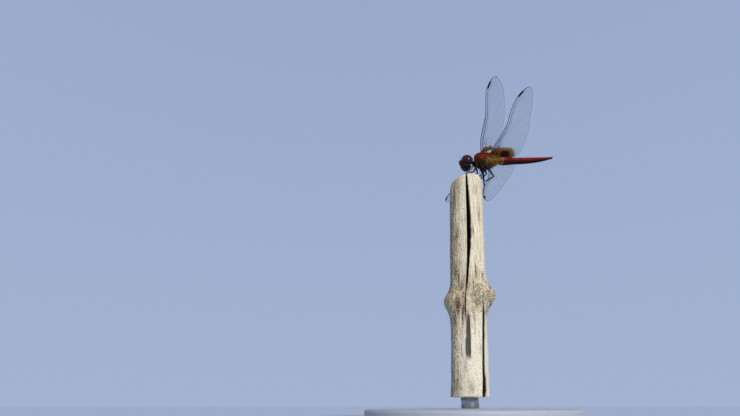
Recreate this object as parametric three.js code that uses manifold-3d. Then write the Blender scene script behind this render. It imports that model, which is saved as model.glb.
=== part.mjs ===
// A red basker dragonfly (genus Urothemis, adult male) perched on the tip of a dead stick, life size.
// Millimetres, +Z up. The origin is the centre of the stand's underside. The dragonfly is modelled in a
// body frame of its own (X to the head, Y to its left, Z to its back, origin midway between the wing
// bases) and is then set on the stick by one position and three angles.

import * as THREE from 'three';
import { mergeVertices } from 'three/addons/utils/BufferGeometryUtils.js';
import Module from 'manifold-3d';

const wasm = await Module();
wasm.setup();

// ---------------------------------------------------------------- driving dimensions

const GAP = 0.2;                    // clearance kept between neighbouring pieces
const DEG = Math.PI / 180;
const HANDS = [['left', 1], ['right', -1]];

const STAND = { radius: 38, height: 5, edge: 1.2, rodRadius: 3.2 };
const PERCH = {
  bottom: 9, top: 97.4, radius: 7.1, // the cut length of stick
  lean: 0.067, leanFrom: 6,          // sideways run per millimetre of height
  topFall: 0.1, fallHeight: 12,      // how the broken top falls away to the left, and from how far down
  shoulder: 5.5, topShare: 0.62,     // height over which the tip rounds off, and the share left on top
};

const BODY = { position: [15.7, 1.2, 107.2], heading: -173.1, noseDown: 5.0, roll: 17.3 };
const HEAD = { position: [9.8, 0, -1.9], roll: 8, noseDown: -6 };
const EYE = { centre: [-0.4, 1.72, 0.35], radii: [2.45, 2.05, 3.0], tilt: 14 };
// The rest of the head, each an oval about its own centre: [centre, radii].
const CAPSULE = [[-0.6, 0, -0.3], [1.8, 2.7, 2.6]];
const VERTEX = [[1.05, 0, 1.8], [0.85, 0.8, 0.8]];
const FACE = {
  frons: [[1.6, 0, 0.25], [1.4, 1.55, 1.2]],
  clypeus: [[1.5, 0, -1.05], [1.2, 1.75, 0.95]],
  labrum: [[1.25, 0, -2.1], [1.05, 1.45, 0.9]],
  labium: [[0.0, 0, -2.5], [1.6, 1.55, 0.95]],
};
const ANTENNA = {
  joints: [[1.7, 0.8, 1.7], [2.5, 1.1, 2.5], [3.7, 1.6, 3.0]], radii: [0.3, 0.27, 0.25],
};
const PROTHORAX = [[5.7, 0, -2.3], [1.15, 1.6, 1.5]];
const NECK = { from: [5.6, 0, -1.9], to: [7.2, 0, -1.7], radii: [0.95, 0.7] };

// Sections of the thorax and of the abdomen: place along the body, half width, back, belly.
const THORAX = [
  [-5.0, 1.50, 1.2, -2.2],
  [-4.6, 2.00, 1.9, -2.8],
  [-3.3, 2.60, 3.0, -3.4],
  [-1.5, 3.05, 3.7, -4.5],
  [0.5, 3.25, 4.0, -5.4],
  [2.5, 3.15, 3.9, -5.4],
  [4.0, 2.55, 3.2, -4.7],
  [4.9, 1.70, 2.1, -3.6],
  [5.2, 0.90, 1.0, -2.6],
];
const THORAX_PLACES = [-5.0, -4.6, -3.9, -2.7, -1.3, 0.2, 1.7, 3.0, 4.0, 4.6, 5.0, 5.2];
const ABDOMEN = [
  [-32.0, 0.48, 0.62, -0.2],
  [-30.4, 0.66, 0.74, -0.5],
  [-28.6, 0.92, 0.68, -1.05],
  [-25.4, 1.25, 0.57, -1.75],
  [-21.0, 1.55, 0.5, -2.35],
  [-17.0, 1.70, 0.45, -2.65],
  [-13.0, 1.76, 0.45, -2.75],
  [-11.0, 1.90, 0.65, -2.9],
  [-8.5, 2.10, 0.85, -3.0],
  [-6.5, 2.00, 0.95, -2.8],
  [-4.9, 1.60, 1.0, -2.3],
];
// Joints between the ten abdominal segments, from the waist to the tail.
const SEGMENT_JOINTS = [-5.1, -6.0, -8.4, -11.7, -15.3, -18.9, -22.4, -25.5, -27.9, -29.6, -30.7];

const KEEL = { thorax: 0.12, abdomen: 0.22 }; // how far the back is squeezed to a ridge
// The tail's claspers, each from the last segment's end: distance back, distance out, height.
const CERCUS = {
  joints: [[0, 0.32, 0.32], [0.9, 0.42, 0.4], [1.55, 0.36, 0.42]], radii: [0.25, 0.3, 0.25],
};
const EPIPROCT = { joints: [[0, 0, -0.27], [1.0, 0, -0.25]], radii: [0.25, 0.25] };

// Wing outlines: distance out from the base, distance back from the hinge line.
const FOREWING = {
  hinge: [2.1, 1.9, 2.5],
  front: [[0, 0], [4, -0.4], [8, -0.5], [13, 0], [17.8, 0.65], [23, 0.5], [28.5, 0.15], [31.3, 0.4],
    [33.8, 1.3], [35.2, 2.5], [35.7, 3.4]],
  rear: [[-0.1, 3.2], [0.6, 5.6], [2.4, 7.6], [6.5, 8.8], [11.5, 9.4], [16.5, 9.5], [22, 9.1], [27, 8.3],
    [31, 7.1], [33.8, 5.7], [35.5, 4.2]],
  stigma: [31.0, 33.7],
  sweep: [-9.2, -15.2], rise: [9.8, 6.3], pitch: 9.3,
};
const HINDWING = {
  hinge: [-2.2, 1.9, 2.3],
  front: [[0, 0], [4, 0.4], [8, 0.95], [12, 1.3], [15.4, 1.35], [20, 0.6], [25, 0.1], [28.8, 0.3],
    [31.6, 1.1], [33.5, 2.4], [34.1, 3.3]],
  rear: [[-0.9, 3.6], [-1, 8.2], [-0.2, 11.8], [2.4, 13.2], [7.5, 12.85], [13, 12.2], [18.5, 10.4],
    [24, 8.7], [28.8, 6.9], [32.2, 5.3], [33.9, 4.0]],
  stigma: [29.0, 31.7],
  sweep: [7.1, 12.2], rise: [5.4, 4.9], pitch: -6.1,
};
const WAIST = { from: -16, to: -5 }; // the stretch of abdomen that the hindwings lie beside
const WING = { thickness: 0.5, spar: 0.75, camber: 0.03, stigmaChord: 0.3, spanSteps: 20, chordSteps: 4 };

// Each leg: hip on the underside of the thorax in the body frame, then knee, ankle and toe tip in the
// frame of the stand, where the stick is that they hold.
const LEGS = {
  leg_front_left: {
    hip: [5.4, 0.9, -3.7], knee: [9.0, -2.3, 99.5], ankle: [5.9, -2.2, 98.3], toe: [4.3, -1.8, 98.0],
  },
  leg_mid_left: {
    hip: [3.3, 1.0, -5.2], knee: [13.9, 1.3, 94.1], ankle: [13.4, 3.8, 91.6], toe: [12.6, 5.0, 90.4],
  },
  leg_hind_left: {
    hip: [1.7, 1.5, -5.3], knee: [17.0, -3.9, 96.3], ankle: [14.1, -1.3, 95.4], toe: [12.7, -2.1, 96.0],
  },
  leg_front_right: {
    hip: [5.4, -0.9, -3.7], knee: [11.6, 1.6, 101.0], ankle: [10.6, 1.1, 98.9], toe: [8.8, 0.7, 98.3],
  },
  leg_mid_right: {
    hip: [3.4, -1.0, -5.2], knee: [14.5, 3.9, 101.7], ankle: [11.7, 3.2, 98.9], toe: [9.9, 2.9, 98.4],
  },
  leg_hind_right: {
    hip: [1.4, -1.5, -5.3], knee: [16.8, 6.2, 102.6], ankle: [12.3, 6.0, 98.9], toe: [10.4, 5.0, 98.4],
  },
};
const LEG_RADII = { coxa: 0.55, femur: 0.41, bend: 0.35, tibia: 0.28, tarsus: 0.26 };
const COXA_LENGTH = 1.3;
const KNEE_BEND = 0.7;              // how far from the knee its bend starts

// Swellings of the stick: bearing about its axis, height, reach out, spread round, spread up.
const SWELLINGS = [
  { bearing: 180, height: 43.6, reach: 2.7, round: 0.75, up: 4.2 },
  { bearing: -22, height: 45.5, reach: 3.2, round: 0.5, up: 4.6 },
  { bearing: -62, height: 45.0, reach: 0.8, round: 0.42, up: 3.2 },
  { bearing: 40, height: 41.0, reach: 1.0, round: 0.7, up: 5.0 },
];
// Shallow ribs down its length: how many, how deep, how far they wind per millimetre of height.
const RIBS = [{ count: 3, depth: 0.18, wind: 0.04 }, { count: 7, depth: 0.12, wind: -0.02 }];
// Drying cracks in its front: how far back each reaches, and [height, middle, half width] up it.
const CRACKS = [
  {
    reach: -0.5,
    stations: [[50, 1.1, 0.1], [60.5, 2.6, 0.45], [69, 3.5, 0.8], [79.5, 4.2, 0.8], [89, 4.5, 0.55],
      [PERCH.top + 2, 5.1, 0.45]],
  },
  { reach: -4.6, stations: [[PERCH.bottom - 1, 4.7, 0.55], [25, 6.0, 0.5], [40.5, 7.4, 0.25]] },
];

// ---------------------------------------------------------------- materials

function paint(color, roughness, metalness = 0) {
  return new THREE.MeshStandardMaterial({ color, roughness, metalness });
}

const EYE_MAROON = () => paint(0x2e0f12, 0.15);
const FACE_RED = () => paint(0x6e1a1c, 0.3);
const HEAD_DARK = () => paint(0x23110e, 0.45);
const THORAX_RED = () => paint(0x6b2a14, 0.5);
const ABDOMEN_RED = () => paint(0x6a1a1c, 0.35);
const WING_CLEAR = () => paint(0xb9c0c4, 0.25);
const LEG_BLACK = () => paint(0x14100f, 0.4);
const DEAD_WOOD = () => paint(0xb8ae9a, 0.9);
const STAND_GREY = () => paint(0xb4bac4, 0.5);
const ROD_STEEL = () => paint(0x9aa0a6, 0.35, 0.9);

// ---------------------------------------------------------------- solids

// A closed manifold solid from a three.js geometry, with its shared vertices merged.
function solidOf(geometry) {
  const bare = geometry.clone();
  bare.deleteAttribute('normal');
  bare.deleteAttribute('uv');
  const merged = mergeVertices(bare, 1e-4);
  const corners = merged.index.array;
  const triVerts = [];
  for (let i = 0; i < corners.length; i += 3) {
    const [a, b, c] = [corners[i], corners[i + 1], corners[i + 2]];
    if (a !== b && b !== c && c !== a) triVerts.push(a, b, c);
  }
  return new wasm.Manifold(new wasm.Mesh({
    numProp: 3,
    vertProperties: new Float32Array(merged.attributes.position.array),
    triVerts: new Uint32Array(triVerts),
  }));
}

function geometryOf(solid) {
  const mesh = solid.getMesh();
  const geometry = new THREE.BufferGeometry();
  geometry.setAttribute('position', new THREE.BufferAttribute(new Float32Array(mesh.vertProperties), 3));
  geometry.setIndex(new THREE.BufferAttribute(new Uint32Array(mesh.triVerts), 1));
  geometry.computeVertexNormals();
  return geometry;
}

function without(solid, ...tools) {
  return tools.reduce((rest, tool) => rest.subtract(tool), solid);
}

function node(name, geometry, material) {
  const mesh = new THREE.Mesh(geometry, material);
  mesh.name = name;
  return mesh;
}

// An ellipsoid, tilted about X, with its faces as even as a sphere's.
function ellipsoid(centre, radii, tiltDegrees = 0, columns = 12, rows = 8) {
  return new THREE.SphereGeometry(1, columns, rows)
    .rotateX(Math.PI / 2)
    .scale(...radii)
    .rotateX(tiltDegrees * DEG)
    .translate(...centre);
}

// A round bar from one point to another, with its own radius at each end.
function bar(from, to, radiusFrom, radiusTo, sides = 8) {
  const start = new THREE.Vector3(...from);
  const span = new THREE.Vector3(...to).sub(start);
  const length = span.length();
  const turn = new THREE.Quaternion().setFromUnitVectors(new THREE.Vector3(0, 1, 0), span.normalize());
  return new THREE.CylinderGeometry(radiusTo, radiusFrom, length, sides)
    .translate(0, length / 2, 0)
    .applyQuaternion(turn)
    .translate(...from);
}

// A jointed limb: one closed tube through its joints, with a mitred ring of its own radius at each. Every
// ring is turned on from the one before it, so that the tube isn't twisted.
function limb(points, radii, sides = 6) {
  const joints = points.map((point) => new THREE.Vector3(...point));
  const last = joints.length - 1;
  const direction = (i) => joints[i + 1].clone().sub(joints[i]).normalize();
  let before = new THREE.Vector3(0, 1, 0);
  let frame = new THREE.Quaternion();
  const frames = joints.map((joint, i) => {
    const along = direction(Math.max(i - 1, 0)).add(direction(Math.min(i, last - 1))).normalize();
    frame = new THREE.Quaternion().setFromUnitVectors(before, along).multiply(frame);
    before = along;
    return frame;
  });
  const geometry = new THREE.CylinderGeometry(1, 1, 1, sides, last);
  const position = geometry.attributes.position;
  for (let i = 0; i < position.count; i += 1) {
    const ring = Math.round((0.5 + position.getY(i)) * last);
    const spoke = new THREE.Vector3(position.getX(i), 0, position.getZ(i)).multiplyScalar(radii[ring]);
    position.setXYZ(i, ...spoke.applyQuaternion(frames[ring]).add(joints[ring]));
  }
  return solidOf(geometry);
}

// Sections are read between their stations by a smooth curve through them.
function sectionAt(stations, x) {
  const last = stations.length - 1;
  let i = 0;
  while (i < last - 1 && x > stations[i + 1][0]) i += 1;
  const before = stations[Math.max(i - 1, 0)];
  const [left, right] = [stations[i], stations[i + 1]];
  const after = stations[Math.min(i + 2, last)];
  const step = right[0] - left[0];
  const t = THREE.MathUtils.clamp((x - left[0]) / step, 0, 1);
  const h = t * t * (3 - 2 * t);
  const slope = (from, to, k) => (to[k] - from[k]) / (to[0] - from[0]);
  return left.map((value, k) => {
    const slopeLeft = slope(before, right, k);
    const slopeRight = slope(left, after, k);
    return value * (1 - h) + right[k] * h
      + step * (slopeLeft * t * (1 - t) ** 2 - slopeRight * t * t * (1 - t));
  });
}

// A body of oval sections strung along X, from a lathe whose profile starts and ends on the axis.
// keel squeezes the upper half towards a ridge, grow makes the body that much fatter.
function ovalBody(stations, places, { keel = 0, grow = 0, sides = 20 } = {}) {
  const profile = [
    new THREE.Vector2(0, places[0] - grow),
    ...places.map((x, i) => {
      const end = i === 0 ? -grow : (i === places.length - 1 ? grow : 0);
      return new THREE.Vector2(1, x + end);
    }),
    new THREE.Vector2(0, places[places.length - 1] + grow),
  ];
  const geometry = new THREE.LatheGeometry(profile, sides);
  const position = geometry.attributes.position;
  for (let i = 0; i < position.count; i += 1) {
    const [across, x, rise] = [position.getX(i), position.getY(i), position.getZ(i)];
    const clamped = THREE.MathUtils.clamp(x, stations[0][0], stations[stations.length - 1][0]);
    const [, halfWidth, back, belly] = sectionAt(stations, clamped);
    const middle = (back + belly) / 2;
    const halfHeight = (back - belly) / 2 + grow;
    const squeeze = 1 - keel * Math.max(rise, 0);
    position.setXYZ(i, x, -across * squeeze * (halfWidth + grow), middle + rise * halfHeight);
  }
  return geometry;
}

function evenly(from, to, count) {
  return Array.from({ length: count + 1 }, (_, i) => from + (to - from) * (i / count));
}

// ---------------------------------------------------------------- head

// The head is built about its own centre, face towards +X, then turned on the neck.
function onNeck(solid) {
  const turn = new THREE.Matrix4().makeRotationFromEuler(
    new THREE.Euler(HEAD.roll * DEG, HEAD.noseDown * DEG, 0, 'ZYX'));
  turn.setPosition(...HEAD.position);
  return solid.transform(turn.elements);
}

function eye(side, grow = 0) {
  const [x, y, z] = EYE.centre;
  const radii = EYE.radii.map((radius) => radius + grow);
  return solidOf(ellipsoid([x, side * y, z], radii, side * EYE.tilt, 18, 12));
}

// One oval of the head, on the head's own centre.
function plate([centre, radii], grow = 0) {
  return solidOf(ellipsoid(centre, radii.map((radius) => radius + grow)));
}

// The half of the body on one side. The big eyes that meet on the crown and the broad bases of the
// hindwings each keep to their own.
function half(side) {
  const width = 100;
  return solidOf(new THREE.BoxGeometry(width, width, width).translate(0, side * (width + GAP) / 2, 0));
}

function headNodes() {
  const eyes = [eye(1, GAP), eye(-1, GAP)];
  const room = Object.fromEntries(Object.entries(FACE).map(([name, oval]) => [name, plate(oval, GAP)]));
  const { frons, clypeus, labrum, labium } = FACE;
  const pieces = [
    ['eye_left', eye(1).intersect(half(1)), EYE_MAROON()],
    ['eye_right', eye(-1).intersect(half(-1)), EYE_MAROON()],
    ['head', without(plate(CAPSULE), ...eyes, ...Object.values(room)), HEAD_DARK()],
    ['vertex', without(plate(VERTEX), ...eyes, room.frons), FACE_RED()],
    ['frons', without(plate(frons), ...eyes), FACE_RED()],
    ['clypeus', without(plate(clypeus), ...eyes, room.frons), FACE_RED()],
    ['labrum', without(plate(labrum), ...eyes, room.frons, room.clypeus), FACE_RED()],
    ['labium', without(plate(labium), ...eyes, room.clypeus, room.labrum), HEAD_DARK()],
  ];
  for (const [hand, side] of HANDS) {
    const bristle = limb(ANTENNA.joints.map(([x, y, z]) => [x, side * y, z]), ANTENNA.radii, 5);
    const clear = without(bristle, ...eyes, room.frons, plate(VERTEX, GAP));
    pieces.push([`antenna_${hand}`, clear, LEG_BLACK()]);
  }
  return pieces.map(([name, solid, material]) => node(name, geometryOf(onNeck(solid)), material));
}

// ---------------------------------------------------------------- thorax and abdomen

function thorax(grow = 0) {
  return solidOf(ovalBody(THORAX, THORAX_PLACES, { keel: KEEL.thorax, grow, sides: 20 }));
}

function prothorax() {
  const shield = plate(PROTHORAX);
  const neck = solidOf(bar(NECK.from, NECK.to, ...NECK.radii, 10));
  const headRoom = [CAPSULE, FACE.labium].map((oval) => onNeck(plate(oval, GAP)));
  return without(shield.add(neck), thorax(GAP), ...headRoom);
}

// A limb on the end of the tail, its joints measured back from there.
function tailLimb({ joints, radii }, side) {
  const tail = SEGMENT_JOINTS[SEGMENT_JOINTS.length - 1] - GAP / 2;
  return geometryOf(limb(joints.map(([back, out, up]) => [tail - back, side * out, up]), radii, 5));
}

function bodyNodes() {
  const nodes = [
    node('thorax', geometryOf(thorax()), THORAX_RED()),
    node('prothorax', geometryOf(prothorax()), HEAD_DARK()),
  ];
  for (let k = 1; k < SEGMENT_JOINTS.length; k += 1) {
    const [front, back] = [SEGMENT_JOINTS[k - 1] - GAP / 2, SEGMENT_JOINTS[k] + GAP / 2];
    const segment = ovalBody(ABDOMEN, evenly(back, front, 2), { keel: KEEL.abdomen, sides: 14 });
    nodes.push(node(`abdomen_${k}`, geometryOf(solidOf(segment)), ABDOMEN_RED()));
  }
  for (const [hand, side] of HANDS) {
    nodes.push(node(`cercus_${hand}`, tailLimb(CERCUS, side), LEG_BLACK()));
  }
  nodes.push(node('epiproct', tailLimb(EPIPROCT, 1), LEG_BLACK()));
  return nodes;
}

// ---------------------------------------------------------------- wings

function curveThrough(points) {
  return new THREE.SplineCurve(points.map(([x, y]) => new THREE.Vector2(x, y)));
}

// A wing blade about its hinge: a thin box bent to the outline, thickest along its leading edge.
function blade(shape, side) {
  const front = curveThrough(shape.front);
  const rear = curveThrough(shape.rear);
  const geometry = new THREE.BoxGeometry(1, 1, 1, WING.chordSteps, WING.spanSteps, 1);
  const position = geometry.attributes.position;
  for (let i = 0; i < position.count; i += 1) {
    const back = 0.5 - position.getX(i);
    const out = position.getY(i) + 0.5;
    const face = position.getZ(i) * 2;
    const edge = front.getPoint(out);
    const chord = rear.getPoint(out).sub(edge);
    const inStigma = edge.x > shape.stigma[0] && edge.x < shape.stigma[1] && back < WING.stigmaChord;
    const spar = Math.max(1 - back * WING.chordSteps, 0) * (1 - out);
    const thickness = inStigma ? WING.spar : WING.thickness + (WING.spar - WING.thickness) * spar;
    const lift = WING.camber * chord.length() * Math.sin(Math.PI * back);
    position.setXYZ(i, -(edge.y + chord.y * back), edge.x + chord.x * back, lift + face * thickness / 2);
  }
  const solid = solidOf(geometry);
  return side > 0 ? solid : solid.mirror([0, 1, 0]);
}

function wingNodes() {
  const body = thorax(GAP);
  const waist = solidOf(
    ovalBody(ABDOMEN, evenly(WAIST.from, WAIST.to, 8), { keel: KEEL.abdomen, grow: GAP, sides: 16 }));
  const nodes = [];
  for (const [pair, shape] of [['fore', FOREWING], ['hind', HINDWING]]) {
    for (const [which, [hand, side]] of HANDS.entries()) {
      const turn = new THREE.Matrix4().makeRotationFromEuler(new THREE.Euler(
        side * shape.rise[which] * DEG, shape.pitch * DEG, side * shape.sweep[which] * DEG, 'ZXY'));
      const [x, y, z] = shape.hinge;
      turn.setPosition(x, side * y, z);
      const wing = blade(shape, side).transform(turn.elements).intersect(half(side));
      nodes.push(node(`wing_${pair}_${hand}`, geometryOf(without(wing, body, waist)), WING_CLEAR()));
    }
  }
  return nodes;
}

// ---------------------------------------------------------------- legs

// The point a given distance along the way from one point to another.
function towards(from, to, distance) {
  const [start, end] = [new THREE.Vector3(...from), new THREE.Vector3(...to)];
  return start.lerp(end, distance / start.distanceTo(end)).toArray();
}

// The root of the thigh: out from the hip, midway between straight down and the way to the knee.
function thighRoot(hip, knee) {
  const start = new THREE.Vector3(...hip);
  const way = new THREE.Vector3(...knee).sub(start).normalize();
  return way.add(new THREE.Vector3(0, 0, -1)).setLength(COXA_LENGTH).add(start).toArray();
}

function legNodes(bodyFrame) {
  const body = thorax(GAP);
  const toBody = bodyFrame.clone().invert();
  const inBody = (point) => new THREE.Vector3(...point).applyMatrix4(toBody).toArray();
  const { coxa, femur, bend, tibia, tarsus } = LEG_RADII;
  return Object.entries(LEGS).map(([name, { hip, ...holding }]) => {
    const [knee, ankle, toe] = [holding.knee, holding.ankle, holding.toe].map(inBody);
    const thigh = thighRoot(hip, knee);
    const aroundKnee = [thigh, ankle].map((end) => towards(knee, end, KNEE_BEND));
    const joints = [hip, thigh, ...aroundKnee, ankle, toe];
    const leg = limb(joints, [coxa, femur, bend, tibia, tibia, tarsus]);
    return node(name, geometryOf(without(leg, body)), LEG_BLACK());
  });
}

// ---------------------------------------------------------------- perch and stand

function stickRadius(bearing, height) {
  const swell = SWELLINGS.reduce((sum, s) => {
    const turn = Math.atan2(Math.sin(bearing - s.bearing * DEG), Math.cos(bearing - s.bearing * DEG));
    return sum + s.reach * Math.exp(-((turn / s.round) ** 2) - ((height - s.height) / s.up) ** 2);
  }, 0);
  const ribs = RIBS.reduce(
    (sum, { count, depth, wind }) => sum + depth * Math.cos(count * bearing + wind * height), 0);
  return PERCH.radius + swell + ribs;
}

function stickAxis(height) {
  return PERCH.lean * (height - PERCH.leanFrom);
}

// A long cut from in front of the stick back to its reach.
function crack({ reach, stations }) {
  const outline = new THREE.Shape();
  stations.forEach(([height, middle, halfWidth], i) => {
    outline[i === 0 ? 'moveTo' : 'lineTo'](middle - halfWidth, height);
  });
  [...stations].reverse().forEach(([height, middle, halfWidth]) => {
    outline.lineTo(middle + halfWidth, height);
  });
  return solidOf(new THREE.ExtrudeGeometry(outline, { depth: 4 * PERCH.radius, bevelEnabled: false })
    .rotateX(Math.PI / 2)
    .translate(0, reach, 0));
}

function perch() {
  const [sides, rings] = [26, 24];
  const geometry = new THREE.CylinderGeometry(1, 1, 1, sides, rings).rotateX(Math.PI / 2);
  const position = geometry.attributes.position;
  for (let i = 0; i < position.count; i += 1) {
    const [x, y] = [position.getX(i), position.getY(i)];
    const height = THREE.MathUtils.lerp(PERCH.bottom, PERCH.top, position.getZ(i) + 0.5);
    const bearing = Math.atan2(y, x);
    const fromTop = THREE.MathUtils.clamp((PERCH.top - height) / PERCH.shoulder, 0, 1);
    const rounding = THREE.MathUtils.lerp(PERCH.topShare, 1, Math.sqrt(1 - (1 - fromTop) ** 2));
    const radius = Math.hypot(x, y) * stickRadius(bearing, height) * rounding;
    const across = radius * Math.cos(bearing);
    const nearTop = THREE.MathUtils.smoothstep(height, PERCH.top - PERCH.fallHeight, PERCH.top);
    position.setXYZ(i, stickAxis(height) + across, radius * Math.sin(bearing),
      height + PERCH.topFall * across * nearTop);
  }
  return geometryOf(without(solidOf(geometry), ...CRACKS.map(crack)));
}

function standBase() {
  const { radius, height, edge } = STAND;
  const rim = evenly(0, 90, 3).map((angle) => new THREE.Vector2(
    radius - edge + edge * Math.cos(angle * DEG), height - edge + edge * Math.sin(angle * DEG)));
  const [middle, underEdge, top] = [[0, 0], [radius, 0], [0, height]].map((at) => new THREE.Vector2(...at));
  const profile = [middle, underEdge, ...rim, top];
  return geometryOf(solidOf(new THREE.LatheGeometry(profile, 40).rotateX(Math.PI / 2)));
}

function standRod() {
  const foot = [stickAxis(PERCH.bottom), 0, STAND.height + GAP];
  const head = [stickAxis(PERCH.bottom), 0, PERCH.bottom - GAP];
  return geometryOf(solidOf(bar(foot, head, STAND.rodRadius, STAND.rodRadius, 16)));
}

// ---------------------------------------------------------------- assembly

const insect = new THREE.Group();
insect.position.set(...BODY.position);
insect.rotation.set(BODY.roll * DEG, BODY.noseDown * DEG, BODY.heading * DEG, 'ZYX');
insect.updateMatrix();
insect.add(...headNodes(), ...bodyNodes(), ...wingNodes(), ...legNodes(insect.matrix));

const model = new THREE.Group();
model.add(
  insect,
  node('perch_stick', perch(), DEAD_WOOD()),
  node('stand_base', standBase(), STAND_GREY()),
  node('stand_rod', standRod(), ROD_STEEL()),
);

export default model;
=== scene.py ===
# A red basker dragonfly (genus Urothemis, adult male) on the tip of a dead stick, as a life-size model
# on a plain round stand. Lengths are millimetres and angles degrees up to the point where a piece is
# made. The dragonfly is built in a body frame (X to its head, Y to its left, Z to its back), its head and
# wings in frames of their own on it, and the stick and the stand in the frame of the row.

import bpy
import numpy as np
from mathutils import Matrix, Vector, geometry


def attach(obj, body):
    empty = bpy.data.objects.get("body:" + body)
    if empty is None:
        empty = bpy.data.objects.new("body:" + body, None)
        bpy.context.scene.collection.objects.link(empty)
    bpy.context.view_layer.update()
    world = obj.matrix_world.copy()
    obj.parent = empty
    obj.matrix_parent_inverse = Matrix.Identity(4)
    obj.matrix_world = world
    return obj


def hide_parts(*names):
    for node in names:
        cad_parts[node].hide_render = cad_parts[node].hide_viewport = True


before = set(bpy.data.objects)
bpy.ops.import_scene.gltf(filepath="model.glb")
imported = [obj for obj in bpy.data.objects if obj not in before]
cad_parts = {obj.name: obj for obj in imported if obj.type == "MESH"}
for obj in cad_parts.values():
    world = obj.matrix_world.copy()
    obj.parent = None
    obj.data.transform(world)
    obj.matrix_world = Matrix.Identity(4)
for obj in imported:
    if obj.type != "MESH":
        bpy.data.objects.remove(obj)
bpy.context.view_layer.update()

# ------------------------------------------------------------------ driving dimensions

MM = 0.001
HANDS = (("left", 1), ("right", -1))
SINK = 0.1         # how far the skins lie inside the solids
HAIR_WIDTH = 0.035

BODY = {"position": (15.7, 1.2, 107.2), "heading": -173.1, "nose_down": 5.0, "roll": 17.3}
HEAD = {"position": (9.8, 0, -1.9), "roll": 8, "nose_down": -6}
# The eyes meet at a flat seam, which they turn into softly.
EYE = {"centre": (-0.4, 1.72, 0.35), "radii": (2.45, 2.05, 3.0), "tilt": 14, "seam": 0.07, "soft": 0.12}
CAPSULE = {"centre": (-0.6, 0, -0.3), "radii": (1.8, 2.7, 2.6)}
VERTEX = {"centre": (1.05, 0, 1.8), "radii": (0.85, 0.8, 0.8)}
FRONS = {"centre": (1.6, 0, 0.25), "radii": (1.4, 1.55, 1.2)}
CLYPEUS = {"centre": (1.5, 0, -1.05), "radii": (1.2, 1.75, 0.95)}
LABRUM = {"centre": (1.25, 0, -2.1), "radii": (1.05, 1.45, 0.9)}
LABIUM = {"centre": (0.0, 0, -2.5), "radii": (1.6, 1.55, 0.95)}
JAW = {"centre": (0.95, 1.3, -1.95), "radii": (0.65, 0.42, 0.62), "tilt": -20}
SMALL_EYES = {"places": [(1.78, 0, 2.0), (1.25, 0.66, 2.15), (1.25, -0.66, 2.15)], "radius": 0.17}
ANTENNA = [(1.7, 0.8, 1.7), (2.5, 1.1, 2.5), (3.7, 1.6, 3.0)]
# How the radius of a feeler runs, as (share of its length, radius).
FEELER = [(0, 0.15), (0.08, 0.17), (0.1, 0.13), (0.2, 0.13), (0.22, 0.07), (0.6, 0.045), (1, 0.025)]

# Sections of the trunk from the tail to the neck: place, half width, back, belly.
ABDOMEN = [
    (-31.0, 0.6, 0.7, -0.38), (-30.4, 0.66, 0.74, -0.5), (-28.6, 0.92, 0.68, -1.05),
    (-25.4, 1.25, 0.57, -1.75), (-21.0, 1.55, 0.5, -2.35), (-17.0, 1.70, 0.45, -2.65),
    (-13.0, 1.76, 0.45, -2.75), (-11.0, 1.90, 0.65, -2.9), (-8.5, 2.10, 0.85, -3.0),
    (-6.5, 2.00, 0.95, -2.8),
]
THORAX = [
    (-5.05, 1.55, 1.05, -2.22), (-4.6, 2.00, 1.9, -2.8), (-3.3, 2.60, 3.0, -3.4),
    (-1.5, 3.05, 3.7, -4.5), (0.5, 3.25, 4.0, -5.4), (2.5, 3.15, 3.9, -5.4),
    (4.0, 2.55, 3.2, -4.7), (4.9, 1.70, 2.1, -3.7),
]
COLLAR = [
    (5.2, 1.45, 0.8, -3.65), (5.45, 1.5, -0.5, -3.75), (5.8, 1.58, -0.85, -3.78),
    (6.25, 1.4, -1.0, -3.6), (6.6, 1.0, -1.1, -3.1), (6.85, 0.78, -1.02, -2.6), (7.7, 0.7, -1.05, -2.4),
]
TRUNK = ABDOMEN + THORAX + COLLAR
SEGMENT_JOINTS = (-6.0, -8.4, -11.7, -15.3, -18.9, -22.4, -25.5, -27.9, -29.6, -30.7)
WAIST = -5.05
# Grooves round the trunk at both ends of the collar and at the waist: place and width.
RING_GROOVES = ((5.35, 0.12), (6.75, 0.1), (WAIST, 0.12))
KEEL = {"thorax": 0.12, "abdomen": 0.22}  # how much narrower the back is than the belly
# Seams down the side of the thorax, as (place, height) from the wing root to the leg root.
PLEURAL_SEAMS = [
    [(3.3, 2.9), (3.6, 0.5), (4.1, -2.0), (4.5, -4.2)],
    [(0.1, 3.1), (0.8, 0.5), (1.7, -2.2), (2.7, -5.0)],
    [(-2.7, 2.4), (-1.8, 0.2), (-0.5, -2.4), (0.7, -4.9)],
]
# Swollen plates on the back between the wings: place, half length, half width, rise.
BACK_PLATES = [(2.6, 1.0, 1.0, 0.1), (0.7, 0.55, 0.65, 0.1), (-0.8, 0.5, 0.8, 0.08), (-2.3, 0.9, 0.8, 0.09),
               (-3.7, 0.4, 0.6, 0.07)]
SPIRACLE = {"place": 0.55, "height": -2.6, "stretch": 1.8, "width": 0.2}
# The claspers: (back, out, up) along each, and its radius.
CERCUS = {"joints": [(0, 0.32, 0.32), (0.9, 0.42, 0.4), (1.55, 0.36, 0.42)],
          "profile": [(0, 0.2), (0.5, 0.25), (1, 0.06)]}
EPIPROCT = {"joints": [(0, 0, -0.27), (0.6, 0, -0.29), (1.0, 0, -0.23)],
            "profile": [(0, 0.22), (0.5, 0.2), (1, 0.07)]}

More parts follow.
